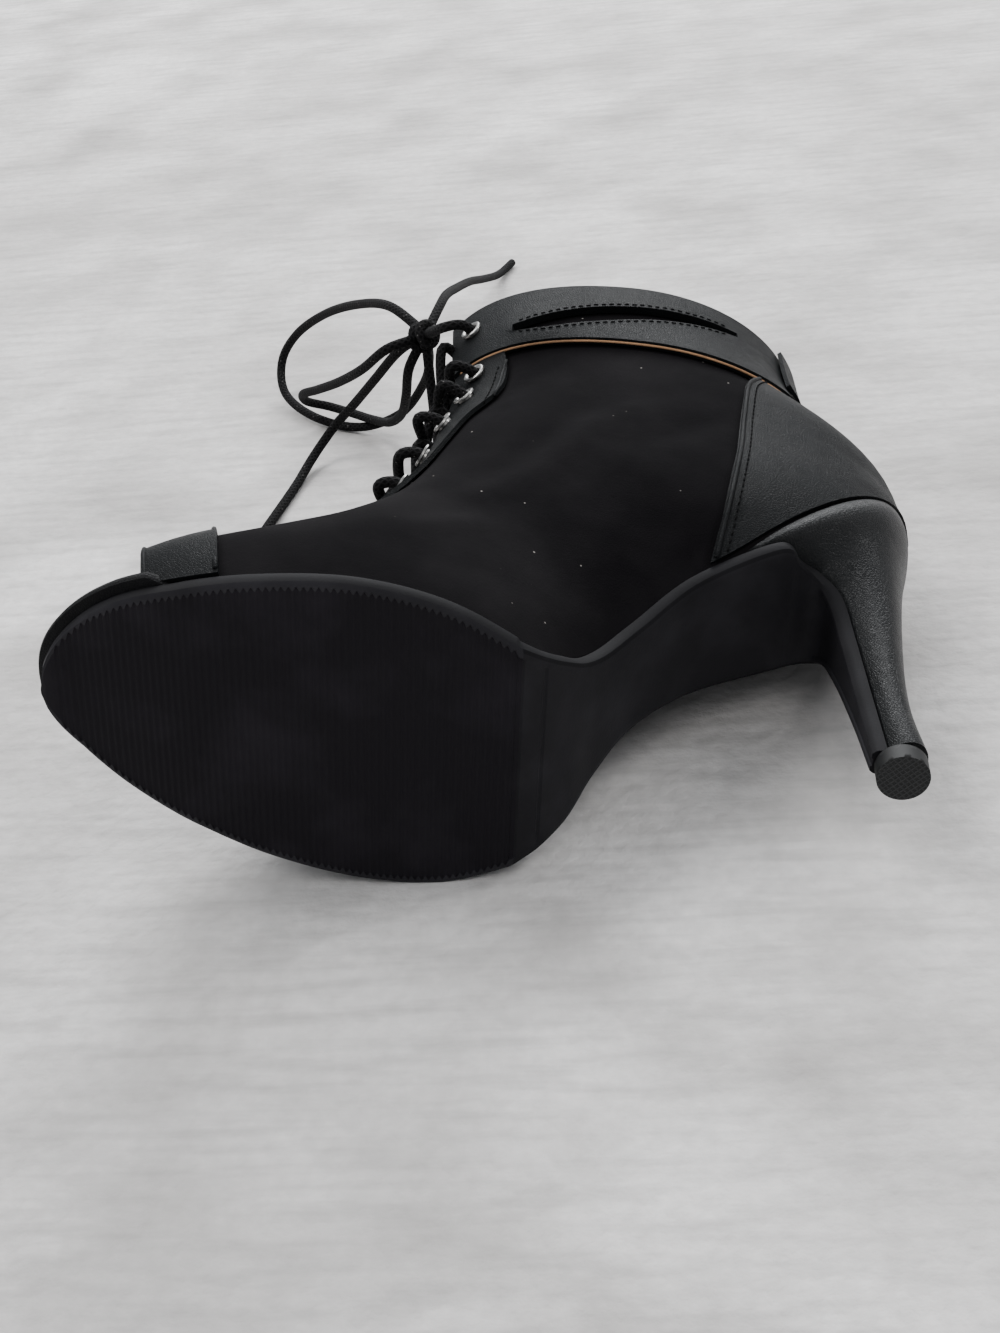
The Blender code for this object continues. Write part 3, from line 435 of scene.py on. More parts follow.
def metal_finish():
    finish = Finish("nickel", (0.30, 0.295, 0.285), 0.3, Metallic=1.0)
    finish.set("Roughness", finish.noise(900.0, 3.0).ramp(0.3, 0.8, 0.26, 0.48))
    return finish.material


def cord_finish():
    """Round braid: two crossing sets of strands on the tube's own map, with tiny light flecks."""
    finish = Finish("cord", (0.006, 0.0055, 0.006), 0.85, Specular_IOR_Level=0.12)
    uv = finish.node("ShaderNodeUVMap", {"uv_map": "UVMap"}, {})
    length = finish.node("ShaderNodeSeparateXYZ", {}, {0: uv}, "X")
    round_it = finish.node("ShaderNodeSeparateXYZ", {}, {0: uv}, "Y")
    turn = 2 * math.pi
    left = ((length * BRAID_RATE + round_it * BRAID_TURNS) * turn).math("SINE")
    right = ((length * BRAID_RATE - round_it * BRAID_TURNS) * turn).math("SINE")
    strands = left.math("MAXIMUM", right).ramp(-0.4, 1.0)
    flecks = specks(finish, 1150.0, 0.34, 0.09)
    # Painted shade and light: the grooves between the strands are darker and their crowns lighter
    colour = finish.blend(strands, (0.0015, 0.0015, 0.0017), (0.0085, 0.0080, 0.0085))
    finish.set("Base Color", finish.blend(flecks * 0.5, colour, (0.16, 0.15, 0.145)))
    finish.set("Normal", finish.bump(strands, 0.00030, 0.9))
    return finish.material


def make_mesh(name, points, faces, finish):
    mesh = bpy.data.meshes.new(name)
    mesh.from_pydata([tuple(point) for point in points], [], faces)
    mesh.materials.append(finish)
    item = bpy.data.objects.new(name, mesh)
    bpy.context.collection.objects.link(item)
    mesh.shade_smooth()
    return item


def sweep_faces(rings, sides):
    """Faces between rings of equally many points, and the two end caps after them."""
    faces = []
    for a in range(0, (rings - 1) * sides, sides):
        b = a + sides
        faces += [(a + i, a + (i + 1) % sides, b + (i + 1) % sides, b + i) for i in range(sides)]
    last = (rings - 1) * sides
    return faces + [tuple(reversed(range(sides))), tuple(range(last, last + sides))]


def face_outward(item, angle):
    """Turn all faces outward and shade smooth where they meet at less than an angle in degrees."""
    activate(item)
    bpy.ops.object.mode_set(mode="EDIT")
    bpy.ops.mesh.select_all(action="SELECT")
    bpy.ops.mesh.normals_make_consistent(inside=False)
    bpy.ops.object.mode_set(mode="OBJECT")
    bpy.ops.object.shade_smooth_by_angle(angle=math.radians(angle))


def spline_point(rows, at):
    """Point of the smooth curve through rows at a row number."""
    last = len(rows) - 1
    start = min(max(int(at), 0), last - 1)
    f = at - start
    before, here = rows[max(start - 1, 0)], rows[start]
    after, beyond = rows[start + 1], rows[min(start + 2, last)]
    return 0.5 * (2 * here + (after - before) * f
                  + (2 * before - 5 * here + 4 * after - beyond) * f * f
                  + (3 * here - before - 3 * after + beyond) * f * f * f)


def even_path(route, step):
    """Points about one step apart along a smooth curve through a route."""
    rows = [Vector(point) for point in route]
    fine = [spline_point(rows, i / 16) for i in range((len(rows) - 1) * 16 + 1)]
    arcs = [0.0]
    for a, b in zip(fine, fine[1:]):
        arcs.append(arcs[-1] + (b - a).length)
    columns = np.array([tuple(point) for point in fine])
    places = np.linspace(0, arcs[-1], max(int(arcs[-1] / step), 2) + 1)
    return [Vector([np.interp(place, arcs, columns[:, i]) for i in range(3)]) for place in places]


def tube(name, path, radius, finish, sides=16):
    """Tube with rounded ends along a path, mapped in metres along it and in turns round it."""
    start = (path[0] - path[1]).normalized() * radius * 0.35
    end = (path[-1] - path[-2]).normalized() * radius * 0.35
    places = [path[0] + start] + list(path) + [path[-1] + end]
    radii = [radius * 0.72] + [radius] * len(path) + [radius * 0.72]
    tangent = (places[1] - places[0]).normalized()
    across = tangent.orthogonal().normalized()
    points, arcs, travelled = [], [], 0.0
    for number, place in enumerate(places):
        ahead = places[min(number + 1, len(places) - 1)]
        behind = places[max(number - 1, 0)]
        turned = (ahead - behind).normalized()
        across.rotate(tangent.rotation_difference(turned))
        across = (across - turned * across.dot(turned)).normalized()
        tangent = turned
        up = turned.cross(across)
        if number:
            travelled += (place - places[number - 1]).length
        arcs.append(travelled)
        for i in range(sides):
            angle = 2 * math.pi * i / sides
            points.append(place + (across * math.cos(angle) + up * math.sin(angle)) * radii[number])
    maps = []
    for arc, after in zip(arcs, arcs[1:]):
        for i in range(sides):
            low, high = i / sides, (i + 1) / sides
            maps += [(arc, low), (arc, high), (after, high), (after, low)]
    maps += [(arcs[0], 0.5)] * sides + [(arcs[-1], 0.5)] * sides
    item = make_mesh(name, points, sweep_faces(len(places), sides), finish)
    layer = item.data.uv_layers.new(name="UVMap")
    layer.data.foreach_set("uv", np.array(maps, dtype=np.float32).ravel())
    return item


def ride(item):
    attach(item, "root")


def leave_knot(direction):
    return KNOT + Vector(direction).normalized() * (KNOT_RADIUS - 0.0012)


def make_cord(name, leaves, points, finish):
    """Free run of the lace from the knot."""
    route = [leave_knot(leaves[0])] + [Vector(point) for point in points]
    route += [leave_knot(leave) for leave in leaves[1:]]
    path = even_path(route, CORD_STEP)
    item = tube(name + "_braid", path, LACE_DIAMETER / 2, finish)
    ride(item)
    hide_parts(name)
    spine = even_path(route, SPINE_STEP)


def join_cord(pieces, name, node):
    """Join pieces of the lace into one that stands for a node."""
    activate(pieces[0])
    for piece in pieces[1:]:
        piece.select_set(True)
    bpy.ops.object.join()
    joined = bpy.context.active_object
    joined.name = name
    ride(joined)
    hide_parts(node)


def make_knot(finish):
    """Bow knot: two snug turns of the cord round a short core."""
    side = KNOT_AXIS.orthogonal().normalized()
    up = KNOT_AXIS.cross(side)
    pieces = []
    for number, (shift, radius, phase) in enumerate(KNOT_TURNS):
        ring = []
        for i in range(KNOT_STEPS + 2):
            angle = phase + 2 * math.pi * i / KNOT_STEPS
            out = (side * math.cos(angle) + up * math.sin(angle)) * radius
            ring.append(KNOT + KNOT_AXIS * (shift + KNOT_PITCH * i / KNOT_STEPS) + out)
        pieces.append(tube(f"lace_knot_turn_{number}", ring, LACE_DIAMETER / 2, finish))
    spine = [KNOT + KNOT_AXIS * step for step in KNOT_CORE]
    pieces.append(tube("lace_knot_core", spine, LACE_DIAMETER * KNOT_CORE_WIDTH, finish))
    join_cord(pieces, "lace_knot_wound", "lace_knot")


def add_camera():
    """Camera of the photograph."""
    data = bpy.data.cameras.new("camera")
    data.lens = CAMERA_LENS
    data.sensor_width = SENSOR
    camera = bpy.data.objects.new("camera", data)
    bpy.context.collection.objects.link(camera)
    back = -shoe_direction(*CAMERA_FORWARD).normalized()
    up = shoe_direction(*CAMERA_UP)
    right = up.cross(back).normalized()
    up = back.cross(right)
    turn = Matrix((right, up, back)).transposed().to_4x4()
    camera.matrix_world = Matrix.Translation(shoe_point(*CAMERA_PLACE)) @ turn
    bpy.context.scene.camera = camera


def add_light(name, place, target, size, power, colour=(1, 1, 1)):
    data = bpy.data.lights.new(name, "AREA")
    data.shape = "DISK"
    data.size = size
    data.energy = power
    data.color = colour
    lamp = bpy.data.objects.new(name, data)
    bpy.context.collection.objects.link(lamp)
    lamp.location = place
    lamp.rotation_euler = (Vector(target) - Vector(place)).to_track_quat("-Z", "Y").to_euler()


def add_stage():
    """Floor, sky and lamps."""
    finish = Finish("floor", (0.62, 0.61, 0.60), 0.8, Specular_IOR_Level=0.3)
    broad = finish.noise(4.0, 6.0).ramp(0.35, 0.68)
    cloud = finish.noise(17.0, 8.0).ramp(0.38, 0.70)
    grain = finish.noise(240.0, 6.0).ramp(0.30, 0.75)
    stretched = finish.node("ShaderNodeVectorMath", {"operation": "MULTIPLY"},
                            {0: finish.coordinates, 1: (1.0, 7.0, 1.0)})
    streaks = finish.noise(30.0, 7.0, stretched).ramp(0.45, 0.75)
    pale = finish.blend(broad, (0.58, 0.56, 0.55), (0.80, 0.785, 0.775))
    worn = finish.blend(cloud * 0.9, pale, (0.36, 0.345, 0.335))
    lined = finish.blend(streaks * 0.45, worn, (0.27, 0.262, 0.258))
    finish.set("Base Color", finish.blend(grain * 0.30, lined, (0.30, 0.29, 0.285)))
    finish.set("Normal", finish.bump(grain + cloud * 0.8, 0.0007, 0.5))
    deselect()
    bpy.ops.mesh.primitive_plane_add(size=6.0, location=(0, 0, 0))
    floor = bpy.context.active_object
    floor.name = "floor"
    floor.data.materials.append(finish.material)
    world = bpy.data.worlds.new("studio")
    world.use_nodes = True
    background = world.node_tree.nodes["Background"]
    background.inputs[0].default_value = (0.90, 0.93, 0.97, 1)
    background.inputs[1].default_value = 0.62
    bpy.context.scene.world = world
    add_light("back_window", (0.1, 1.5, 1.0), (0, 0, 0.03), 1.5, 44.0, (0.97, 0.985, 1.0))
    add_light("top_left", (-0.9, 0.4, 1.5), (0, 0, 0.03), 1.1, 26.0)
    add_light("front_fill", (0.3, -0.9, 1.2), (0, 0, 0.03), 0.7, 5.0, (1.0, 0.98, 0.96))
    add_light("right", (1.1, 0.3, 0.9), (0, 0, 0.05), 0.5, 7.0)


def world_tree(name):
    """Search tree of a CAD node's faces in world space."""
    node = bpy.data.objects[name]
    bm = bmesh.new()
    bm.from_mesh(node.data)
    bm.transform(node.matrix_world)
    tree = BVHTree.FromBMesh(bm)
    bm.free()
    return tree


def side_hit(tree, x, z, side):
    """Point and outward normal on a side of the shoe, inner side positive."""
    place, normal, _, _ = tree.ray_cast(shoe_point(x, side * 0.08, z), -SHOE_Y * side)
    if place is None:
        return None
    if normal.dot(SHOE_Y) * side < 0:
        normal = -normal
    return place, normal


def side_line(tree, table, side, step, shift=0.0):
    """Points and normals along a line given in x and z, cast onto a side of the shoe."""
    route = even_path([(x + shift, 0.0, z) for x, z in table], step)
    hits = [side_hit(tree, point.x, point.z, side) for point in route]
    return [hit for hit in hits if hit]


def edge_line(tree, way):
    """Points and normals along the front (way 1) or rear (-1) edge of the toe band."""
    start, centre_z = BAND_MIDDLE
    hits = []
    for degrees in np.arange(*BAND_TURNS):
        angle = math.radians(degrees)
        out = shoe_direction(0.0, math.sin(angle), math.cos(angle))
        found = None
        for x in start + way * np.arange(0.0, 0.03, 0.0003):
            origin = shoe_point(x, 0.0, centre_z) + out * 0.09
            place, normal, _, _ = tree.ray_cast(origin, -out, 0.088)
            if place is None or normal.dot(out) < 0:
                break
            found = (place - SHOE_X * 0.0005 * way, normal)
        if found:
            hits.append(found)
    return hits


def bead(name, line, radius, sink, finish):
    """Rounded folded edge along a line of the leather, sunk a little into it."""
    path = [place - normal * sink for place, normal in line]
    ride(tube(name, path, radius, finish, sides=10))


def stitch_row(name, lines, finish, pitch, length, radius):
    """Short stitches along lines of points and normals, all in one mesh."""
    points, faces = [], []
    sides = 6
    section = ((-0.5, 0.35, -0.00012), (-0.35, 0.9, 0.0001), (0.35, 0.9, 0.0001),
               (0.5, 0.35, -0.00012))
    for line in lines:
        travelled, due = 0.0, pitch / 2
        for (a, normal_a), (b, _) in zip(line, line[1:]):
            gap = (b - a).length
            if travelled + gap >= due and gap < 0.004:
                along = (b - a).normalized()
                middle = a.lerp(b, (due - travelled) / gap)
                across = normal_a.cross(along).normalized()
                start = len(points)
                for share, swell, lift in section:
                    centre = middle + along * length * share + normal_a * lift
                    for i in range(sides):
                        angle = 2 * math.pi * i / sides
                        ring = across * math.cos(angle) + normal_a * math.sin(angle)
                        points.append(centre + ring * radius * swell)
                faces += [tuple(start + corner for corner in face)
                          for face in sweep_faces(len(section), sides)]
                due += pitch
            travelled += gap
    ride(make_mesh(name, points, faces, finish))


def sole_station(at):
    """Bottom face of the sole at a row number: centre, half width and inward normal."""
    def place(number):
        x, z, inner, outer = spline_point(SOLE_ROWS, number)
        return x * SOLE_LENGTH, max(z, 0.0) * RIM_HEIGHT, inner * HALF_BALL, outer * HALF_BALL
    x, z, inner, outer = place(at)
    ahead = place(min(at + 0.05, len(SOLE_ROWS) - 1))
    behind = place(max(at - 0.05, 0.0))
    along = Vector((ahead[0] - behind[0], 0, ahead[1] - behind[1])).normalized()
    normal = Vector((along.z, 0, -along.x))
    return Vector((x, (inner - outer) / 2, z)), (inner + outer) / 2, normal


def toe_station(at):
    """Station of the sole, its end before row 2 drawn round like the end of an ellipse."""
    if at >= 2:
        return sole_station(at)
    (centre, half, normal), (tip, _, tip_normal) = sole_station(2.0), sole_station(0.0)
    share = 1 - (1 - at / 2) ** 2
    place = tip.lerp(centre, share)
    place.x = TOE_END + (centre.x - TOE_END) * (at / 2) ** 2
    return place, max(half * at / 2, 0.0005), tip_normal.lerp(normal, share)


def sole_rows():
    """Row numbers of the sole's rings: several to a rib on the tread, coarser behind it."""
    numbers = np.linspace(0, FOREPART_ROWS, 4000)
    places = np.array([toe_station(n)[0].x for n in numbers])
    ribbed = np.arange(TREAD_REAR, SOLE_LENGTH - 0.0002, RIB_PITCH / 6)
    lines = [TREAD_REAR - step for step in (0.0004, 0.0010, 0.0015)]
    lines += [SECOND_LINE + step for step in (0.0005, 0.0002, -0.0002, -0.0005)]
    rows = list(np.interp(np.concatenate((-ribbed[::-1], -np.array(lines))), -places, numbers))
    rear = np.linspace(rows[-1], len(SOLE_ROWS) - 1, 90)[1:]
    return [0.0, 0.05, 0.1] + [row for row in rows if row > 0.12] + list(rear)


def sole_ring(at):
    """Section of the sole at a row number, as half widths and heights of the inner half."""
    centre, half, _ = toe_station(at)
    forepart = at < FOREPART_ROWS
    tread = forepart and centre.x >= TREAD_REAR
    inside = min(max((SOLE_LENGTH - RIM_WIDTH - centre.x) / 0.001, 0.0), 1.0) if tread else 0.0
    wave = 0.5 - 0.5 * math.cos(2 * math.pi * (centre.x - TREAD_REAR) / RIB_PITCH)
    depth = RIB_DEPTH * (0.25 + 0.75 * wave) * inside
    if forepart and TREAD_REAR - TREAD_STEP < centre.x < TREAD_REAR:
        depth = STEP_DEPTH
    if forepart and abs(centre.x - SECOND_LINE) < 0.0003:
        depth = SECOND_DEPTH
    bevel = min(SOLE_BEVEL, 0.3 * half)
    edge = half - bevel
    flap = min(max((at - FLAP_ROW) / 0.5, 0.0), 1.0)
    ring = [(half, SOLE_THICK), (half, bevel * 1.1), (half - bevel * 0.3, bevel * 0.35),
            (edge, -FLAP_LIFT * flap)]
    if flap > 0:
        within = max(edge - FLAP_EDGE, edge * 0.5)
        return ring + [(within, -FLAP_LIFT * flap), (max(within - 0.0003, 0.0), 0.0),
                       (within * 0.5, 0.0)]
    rim = half - min(RIM_WIDTH, 0.4 * half)
    comb = COMB * wave * inside
    return ring + [(rim + comb, 0.0), (rim + comb - 0.0004, depth),
                   (max(rim - 0.004, 0.3 * half), depth)]


def make_sole(tread, rim, shank, edge):
    """Outsole with a bevelled rim, real ribs on the tread and raised edges on the heel's breast."""
    points, kinds = [], []
    rows = sole_rows()
    for at in rows:
        centre, _, normal = toe_station(at)
        ring = sole_ring(at)
        ring += [(-y, z) for y, z in reversed(ring)]
        points += [shoe_point(*(centre + Vector((0, y, 0)) + normal * z)) for y, z in ring]
    for row, after in zip(rows, rows[1:]):
        x = toe_station((row + after) / 2)[0].x
        forepart = x >= TREAD_REAR - TREAD_STEP and row < FOREPART_ROWS
        # Kind 3, the paler rubber on the bevel's foot and the flat rim, is painted light: the
        # smooth rim is coloured paler than the tread beside it
        half_kinds = (1, 1, 3, 3, 0, 0) if forepart else (1, 1, 1, 2, 2, 2)
        middle = 0 if forepart else 2
        kinds += [*half_kinds, middle, *reversed(half_kinds), 1]
    item = make_mesh("sole_ribbed", points, sweep_faces(len(rows), len(ring)), tread)
    for finish in (rim, shank, edge):
        item.data.materials.append(finish)
    item.data.polygons.foreach_set("material_index", kinds + [1, 1])
    face_outward(item, 32)
    ride(item)
    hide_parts("outsole")


def clean_copy(node, name, finishes):
    """Copy of a CAD node with its triangles merged back into connected quads."""
    activate(bpy.data.objects[node])
    bpy.ops.object.duplicate()
    piece = bpy.context.active_object
    piece.name = name
    piece.data.materials.clear()
    for finish in finishes:
        piece.data.materials.append(finish)
    bpy.ops.object.mode_set(mode="EDIT")
    bpy.ops.mesh.select_all(action="SELECT")
    bpy.ops.mesh.remove_doubles(threshold=0.00001)
    bpy.ops.mesh.tris_convert_to_quads(face_threshold=math.radians(25),
                                       shape_threshold=math.radians(60))
    bpy.ops.object.mode_set(mode="OBJECT")
    for polygon in piece.data.polygons:
        polygon.material_index = 0
    return piece


def smooth_piece(piece, node):
    """Subdivide a copy with its sharp edges kept, and put it in the node's place."""
    sharp = math.radians(35.0)
    activate(piece)
    bpy.ops.object.mode_set(mode="EDIT")
    bpy.ops.mesh.select_all(action="DESELECT")
    bpy.ops.mesh.select_mode(type="EDGE")
    bpy.ops.mesh.edges_select_sharp(sharpness=sharp)
    bpy.ops.transform.edge_crease(value=1.0)
    bpy.ops.object.mode_set(mode="OBJECT")
    fine = piece.modifiers.new("fine", "SUBSURF")
    fine.levels = 2
    fine.render_levels = 2
    bpy.ops.object.modifier_apply(modifier="fine")
    bpy.ops.object.shade_smooth_by_angle(angle=sharp)
    ride(piece)
    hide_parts(node)
    return piece


def refined(node, name, finish):
    return smooth_piece(clean_copy(node, name, [finish]), node)


def line_distance(line, x, z):
    """Distance from a point to a polyline in the x and z plane, and the share along it."""
    best, at = 1.0, 0.0
    for number, ((ax, az), (bx, bz)) in enumerate(zip(line, line[1:])):
        dx, dz = bx - ax, bz - az
        share = ((x - ax) * dx + (z - az) * dz) / (dx * dx + dz * dz)
        share = min(max(share, 0.0), 1.0)
        gap = math.hypot(x - ax - dx * share, z - az - dz * share)
        if gap < best:
            best, at = gap, (number + share) / (len(line) - 1)
    return best, at


def crease_push(x, z):
    """Height of the creases at a point of the shoe's side."""
    push = 0.0
    for line, height, width in CREASES:
        gap, at = line_distance(line, x, z)
        if gap < width * 2.5:
            taper = math.sin(math.pi * (0.08 + at * 0.84))
            push += height * taper * math.exp(-(gap / width) ** 2)
    return push


def make_upper(outside, inside):
    """Suede shell with its creases pushed in and out by listed soft lines."""
    piece = clean_copy("upper", "upper_suede", [outside, inside])
    tree = world_tree("upper")
    for polygon in piece.data.polygons:
        hit = tree.ray_cast(polygon.center + polygon.normal * 0.004, polygon.normal)
        polygon.material_index = 1 if hit[0] is not None else 0
    smooth_piece(piece, "upper")
    for vertex in piece.data.vertices:
        local = in_shoe(vertex.co)
        if abs(local.y) >= UNCREASED:
            vertex.co += SHOE_Y * math.copysign(1, local.y) * crease_push(local.x, local.z)


def strap_edges(piece, tree):
    """Middle lines of the strap's lower and upper walls, in the shoe's own frame."""
    lower, upper = [], []
    for polygon in piece.data.polygons:
        for found, way in ((lower, -SHOE_Z), (upper, SHOE_Z)):
            if polygon.normal.dot(way) > 0.75:
                if tree.ray_cast(polygon.center + way * 0.0005, way)[0] is None:
                    found.append(in_shoe(polygon.center))
    return lower, upper


def shift_slot(piece, lower, upper):
    """Slide the rows of the strap so that its slots run as in the photograph."""
    xs, target, openings = zip(*SLOT_LINE)
    margin = 0.004
    for vertex in piece.data.vertices:
        local = in_shoe(vertex.co)
        if not xs[0] - margin < local.x < xs[-1] + margin:
            continue
        bottom, top = (min((p for p in line if p.y * local.y > 0),
                           key=lambda p: abs(p.x - local.x)).z for line in (lower, upper))
        level = (local.z - bottom) / (top - bottom)
        if not 0.1 < level < 0.9:
            continue
        middle = (np.interp(local.x, xs, target) - bottom) / (top - bottom)
        opening = np.interp(local.x, xs, openings)
        low, high = middle - 0.11 * opening, middle + 0.09 * opening
        moved = np.interp(level, (0.0, 0.28, 0.5, 0.7, 1.0), (0.0, low * 0.55, low, high, 1.0))
        fade = min(max((xs[-1] + margin - local.x) / margin, 0.0), 1.0)
        vertex.co += SHOE_Z * (moved - level) * (top - bottom) * fade


def make_strap(finish, raw, lining, thread):
    """Ankle strap with a raw layer in its lower edge and suede behind its slots."""
    piece = clean_copy("ankle_strap", "strap_leather", [finish])
    lower, upper = strap_edges(piece, world_tree("ankle_strap"))
    shift_slot(piece, lower, upper)
    smooth_piece(piece, "ankle_strap")
    tree = world_tree("strap_leather")
    rows = []
    for side, label in SIDES:
        turned = [(math.atan2(p.y * side, STRAP_CENTRE - p.x), p) for p in lower]
        route = [p for turn, p in sorted(turned, key=lambda pair: pair[0]) if turn > -RAW_OVERLAP]
        path = even_path([shoe_point(p.x, p.y, p.z - RAW_DROP) for p in route], RAW_STEP)
        ride(tube("strap_raw_" + label, path, RAW_RADIUS, raw, sides=10))
        make_slot_lining(tree, side, label, lining)
        spans = [(x, slot_span(tree, x, side)) for x in np.arange(*SLOT_COLUMNS)]
        for shift, edge in ((-SLOT_STITCH, 0), (SLOT_STITCH, 1)):
            table = [(x, span[edge] + shift) for x, span in spans if span]
            rows.append(side_line(tree, table, side, STITCH_STEP))
    stitch_row("strap_stitches", rows, thread, *STRAP_STITCHES)


def slot_span(tree, x, side):
    """Heights of the lower and upper edge of the strap's slot at x, or nothing where it is shut."""
    xs, target, _ = zip(*SLOT_LINE)
    middle = np.interp(x, xs, target)
    levels = []
    for z in np.arange(*SLOT_HEIGHTS):
        hit = side_hit(tree, x, z, side)
        through = hit is None or in_shoe(hit[0]).y * side < 0.005
        if through and abs(z - middle) < SLOT_REACH:
            levels.append(z)
    return (levels[0], levels[-1]) if len(levels) > 3 else None


def make_slot_lining(tree, side, label, finish):
    """Suede that shows behind a slot of the strap, spanned between its edges."""
    points, faces, count = [], [], 0
    low, high = LINING_SPAN
    for x in np.arange(*LINING_COLUMNS):
        hits = [tree.ray_cast(shoe_point(x, 0.0, z), SHOE_Y * side)[0] for z in LINING_SPAN]
        known = [in_shoe(place).y for place in hits if place is not None]
        if not known:
            continue
        for share in np.linspace(0, 1, LINING_PARTS):
            y = known[0] + (known[-1] - known[0]) * share - side * LINING_GAP
            z = low + (high - low) * share
            points += [shoe_point(x, y, z), shoe_point(x, y - side * LINING_THICK, z)]
        count += 1
    column = 2 * LINING_PARTS
    for a in range(0, (count - 1) * column, column):
        b = a + column
        for i in range(0, column - 2, 2):
            faces += [(a + i, b + i, b + i + 2, a + i + 2),
                      (a + i + 1, a + i + 3, b + i + 3, b + i + 1)]
        faces += [(a, a + 1, b + 1, b), (b - 2, b + column - 2, b + column - 1, b - 1)]
    last = (count - 1) * column
    for i in range(0, column - 2, 2):
        faces += [(i, i + 2, i + 3, i + 1), (last + i, last + i + 1, last + i + 3, last + i + 2)]
    item = make_mesh("slot_lining_" + label, points, faces, finish)
    face_outward(item, 35)
    ride(item)


def eyelet_frame(name):
    """Centre line of an eyelet: place and outward direction, with the heights of both ends."""
    node = bpy.data.objects[name]
    points = np.array([tuple(node.matrix_world @ v.co) for v in node.data.vertices])
    centre = points.mean(axis=0)
    values, vectors = np.linalg.eigh(np.cov((points - centre).T))
    axis = vectors[:, 2] if values[1] - values[0] < values[2] - values[1] else vectors[:, 0]
    heights = (points - centre) @ axis
    spread = np.linalg.norm((points - centre) - np.outer(heights, axis), axis=1)
    if spread[heights > 0].max() < spread[heights < 0].max():
        axis, heights = -axis, -heights
    return Vector(centre), Vector(axis), heights.min(), heights.max()


def make_eyelets(finish):
    """Rolled metal rings in the place of the plain ones."""
    frames = {}
    for side in ("inner", "outer"):
        for number in range(1, EYELET_PAIRS + 1):
            name = f"eyelet_{side}_{number}"
            centre, axis, low, high = frames[side, number] = eyelet_frame(name)
            across = axis.orthogonal().normalized()
            up = axis.cross(across)
            points, faces = [], []
            for i in range(EYELET_SIDES):
                angle = 2 * math.pi * i / EYELET_SIDES
                out = across * math.cos(angle) + up * math.sin(angle)
                for radius, height in EYELET_SECTION:
                    level = low if height is None else high + height
                    points.append(centre + axis * level + out * radius)
            count = len(EYELET_SECTION)
            for i in range(EYELET_SIDES):
                a, b = i * count, (i + 1) % EYELET_SIDES * count
                for j in range(count):
                    k = (j + 1) % count
                    faces.append((a + j, b + j, b + k, a + k))
            ring = make_mesh(name + "_ring", points, faces, finish)
            face_outward(ring, 50)
            ride(ring)
            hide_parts(name)
    return frames


def throat_side(frames, side, number):
    """Direction from an eyelet to its partner across the throat, flat to the leather."""
    centre, axis, _, _ = frames[side, number]
    way = frames[OTHER[side], number][0] - centre
    return (way - axis * way.dot(axis)).normalized()


def lace_half(frames, side, arc):
    """One half of the lace: out of each eyelet, over the throat and in under the other edge."""
    route = []
    for number in range(1, EYELET_PAIRS + 1):
        centre, axis, low, high = frames[side, number]
        way = throat_side(frames, side, number)
        top, inside = centre + axis * high, centre + axis * low
        route.append(inside + axis * LACE_START[0] + way * LACE_START[1])
        route.append(centre)
        route.append(top + axis * LACE_OUT[0] + way * LACE_OUT[1])
        if number == EYELET_PAIRS:
            route.append(top + axis * LACE_AWAY[0] + way * LACE_AWAY[1])
            break
        side = OTHER[side]
        after, after_axis, after_low, after_high = frames[side, number + 1]
        after_way = throat_side(frames, side, number + 1)
        route.append(top + axis * LACE_OVER[0] + way * LACE_OVER[1])
        middle = (top + after + after_axis * after_high) / 2
        lift = (axis + after_axis).normalized()
        route.append(middle + lift * arc)
        for end, (rise, reach) in ((after_high, LACE_EDGE), (after_low, LACE_UNDER)):
            route.append(after + after_way * reach + after_axis * (end + rise))
    return route + [KNOT + (route[-1] - KNOT).normalized() * (KNOT_RADIUS - 0.001)]


def make_lacing(frames, finish):
    """Both halves of the lace from a bar under the lowest eyelets up to the knot."""
    inner, outer = (lace_half(frames, side, arc) for side, arc in zip(OTHER, LACE_ARCS))
    bar = (inner[0] + outer[0]) / 2 - (frames["inner", 1][1] + frames["outer", 1][1]) * 0.001
    join_cord([tube(name, even_path([bar] + route, LACING_STEP), LACE_DIAMETER / 2, finish)
               for name, route in (("lace_half_a", inner), ("lace_half_b", outer))],
              "lace_laced", "lace_crossings")


def make_leather_edges(finish, thread):
    """Folded edges and stitches of the leather panels."""
    counter, band = world_tree("heel_counter"), world_tree("toe_band")
    rows = []
    for side, label in SIDES:
        facing = world_tree("facing_" + label)
        for name, tree, line, (shift, radius), stitch in (
                ("counter_fold_", counter, COUNTER_SEAM, COUNTER_BEAD, COUNTER_STITCH),
                ("facing_fold_", facing, FACING_EDGE, FACING_BEAD, FACING_STITCH)):
            seam = side_line(tree, line, side, BEAD_STEP, shift)
            bead(name + label, seam, radius, 0.00012, finish)
            rows.append(side_line(tree, line, side, STITCH_STEP, stitch))
    for name, way in (("band_front_fold", 1), ("band_rear_fold", -1)):
        bead(name, edge_line(band, way), BAND_BEAD, 0.00010, finish)
    stitch_row("panel_stitches", rows, thread, *PANEL_STITCHES)


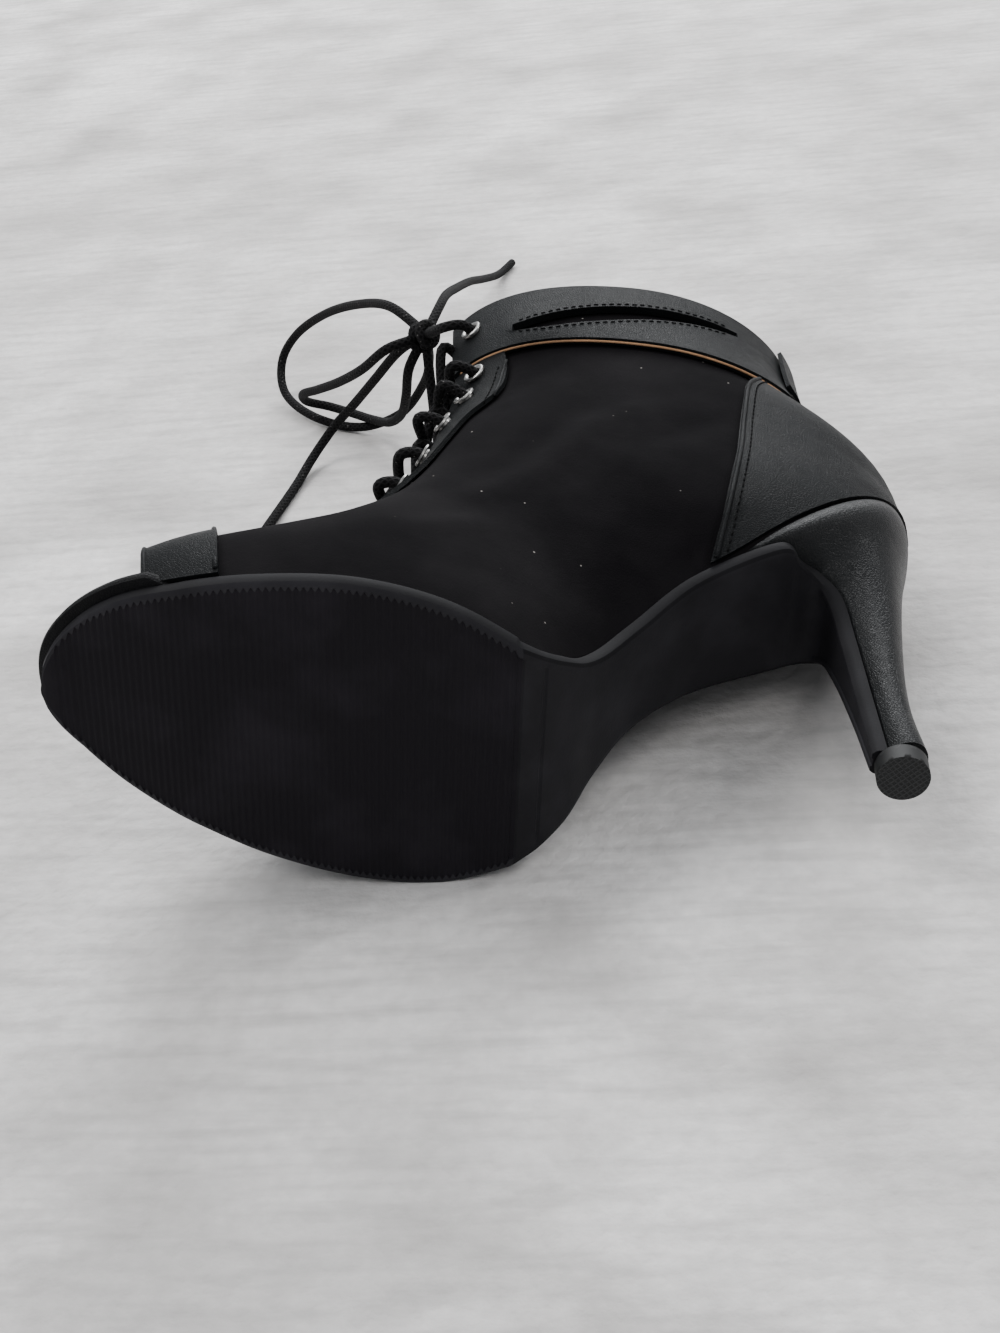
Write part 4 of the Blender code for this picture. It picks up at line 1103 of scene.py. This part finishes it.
def make_insole_rim(finish):
    """Strip of the insole that stands out all round the open toe."""
    outline, points = [], []
    numbers = list(np.linspace(RIM_START, 0.0, 66))
    for at, side in [(n, 1) for n in numbers] + [(n, -1) for n in reversed(numbers)]:
        centre, half, normal = toe_station(at)
        place = centre + Vector((0, half * side, 0))
        if not outline or (place - outline[-1][0]).length > 0.0006:
            outline.append((place, normal, at))
    low, side_low, side_high, high = RIM_LEVELS
    for number, (place, normal, at) in enumerate(outline):
        before = outline[max(number - 1, 0)][0]
        after = outline[min(number + 1, len(outline) - 1)][0]
        out = normal.cross((after - before).normalized()).normalized()
        spread = TOE_RIM * min(1.0, (RIM_START - at) / RIM_TAPER) - 0.0004
        for reach, lift in ((RIM_TUCK, low), (spread - 0.0004, low), (spread, side_low),
                            (spread, side_high), (spread - 0.0005, high), (RIM_TUCK, high)):
            points.append(shoe_point(*(place + out * reach + normal * lift)))
    rim = make_mesh("insole_rim", points, sweep_faces(len(outline), 6), finish)
    face_outward(rim, 50)
    ride(rim)


def make_insole(finish):
    """Insole, its toe drawn in behind the strip that stands out round it."""
    piece = refined("insole", "insole_cover", finish)
    for vertex in piece.data.vertices:
        local = in_shoe(vertex.co)
        past = local.x - INSOLE_CUT
        if past > 0:
            narrower = min(past / 0.009, INSOLE_NARROWER)
            vertex.co -= SHOE_X * past * INSOLE_SHORTER
            vertex.co -= SHOE_Y * (local.y - INSOLE_MIDDLE) * narrower
    make_insole_rim(finish)


add_camera()
CORD = cord_finish()
LEATHER = leather_finish("smooth_leather", (0.0046, 0.0050, 0.0054), 0.46, 0.75, 0.04)
HEEL_LEATHER = leather_finish("heel_leather", (0.0052, 0.0056, 0.0060), 0.40, 0.7, 0.13)
LINING = leather_finish("lining", (0.0080, 0.0080, 0.0085), 0.6, 1.0, 0.10)
SUEDE = suede_finish()
TREAD_RUBBER = rubber_finish("tread_rubber", (0.0088, 0.0078, 0.0098), 0.66)
RIM_RUBBER = rubber_finish("rim_rubber", (0.0064, 0.0062, 0.0072), 0.62)
# Paler copy of the sole's rubber for the flat rim and the bevel's foot: painted light on the smooth
# rim
LIT_RIM_RUBBER = rubber_finish("lit_rim_rubber", (0.0170, 0.0164, 0.0188), 0.55)
SHANK_RUBBER = rubber_finish("shank_rubber", (0.0108, 0.0104, 0.0120), 0.55)
INSOLE = leather_finish("insole_leather", (0.0075, 0.0075, 0.008), 0.55, 1.0, 0.06)
NICKEL = metal_finish()
TIP_RUBBER = hatched_finish()
THREAD = leather_finish("thread", (0.0026, 0.0026, 0.0028), 0.8, 1.0, 0.05)
RAW_EDGE = leather_finish("raw_edge", (0.27, 0.150, 0.080), 0.8, 1.0, 0.2)

make_cord("lace_loop_large", LARGE_LEAVES, LARGE_LOOP, CORD)
make_cord("lace_loop_small", SMALL_LEAVES, SMALL_LOOP, CORD)
make_cord("lace_end_upper", UPPER_LEAVES, UPPER_END, CORD)
make_cord("lace_end_lower", LOWER_LEAVES, LOWER_END, CORD)
make_knot(CORD)
make_leather_edges(LEATHER, THREAD)
make_lacing(make_eyelets(NICKEL), CORD)
make_upper(SUEDE, LINING)
make_strap(LEATHER, RAW_EDGE, SUEDE, THREAD)
make_sole(TREAD_RUBBER, RIM_RUBBER, SHANK_RUBBER, LIT_RIM_RUBBER)
refined("heel_counter", "counter_leather", LEATHER)
refined("back_tab", "tab_leather", LEATHER)
refined("facing_inner", "facing_inner_leather", LEATHER)
refined("facing_outer", "facing_outer_leather", LEATHER)
refined("toe_band", "band_leather", LEATHER)
refined("heel", "heel_leather_cover", HEEL_LEATHER)
make_insole(INSOLE)
refined("top_piece", "tip_cap", TIP_RUBBER)

add_stage()
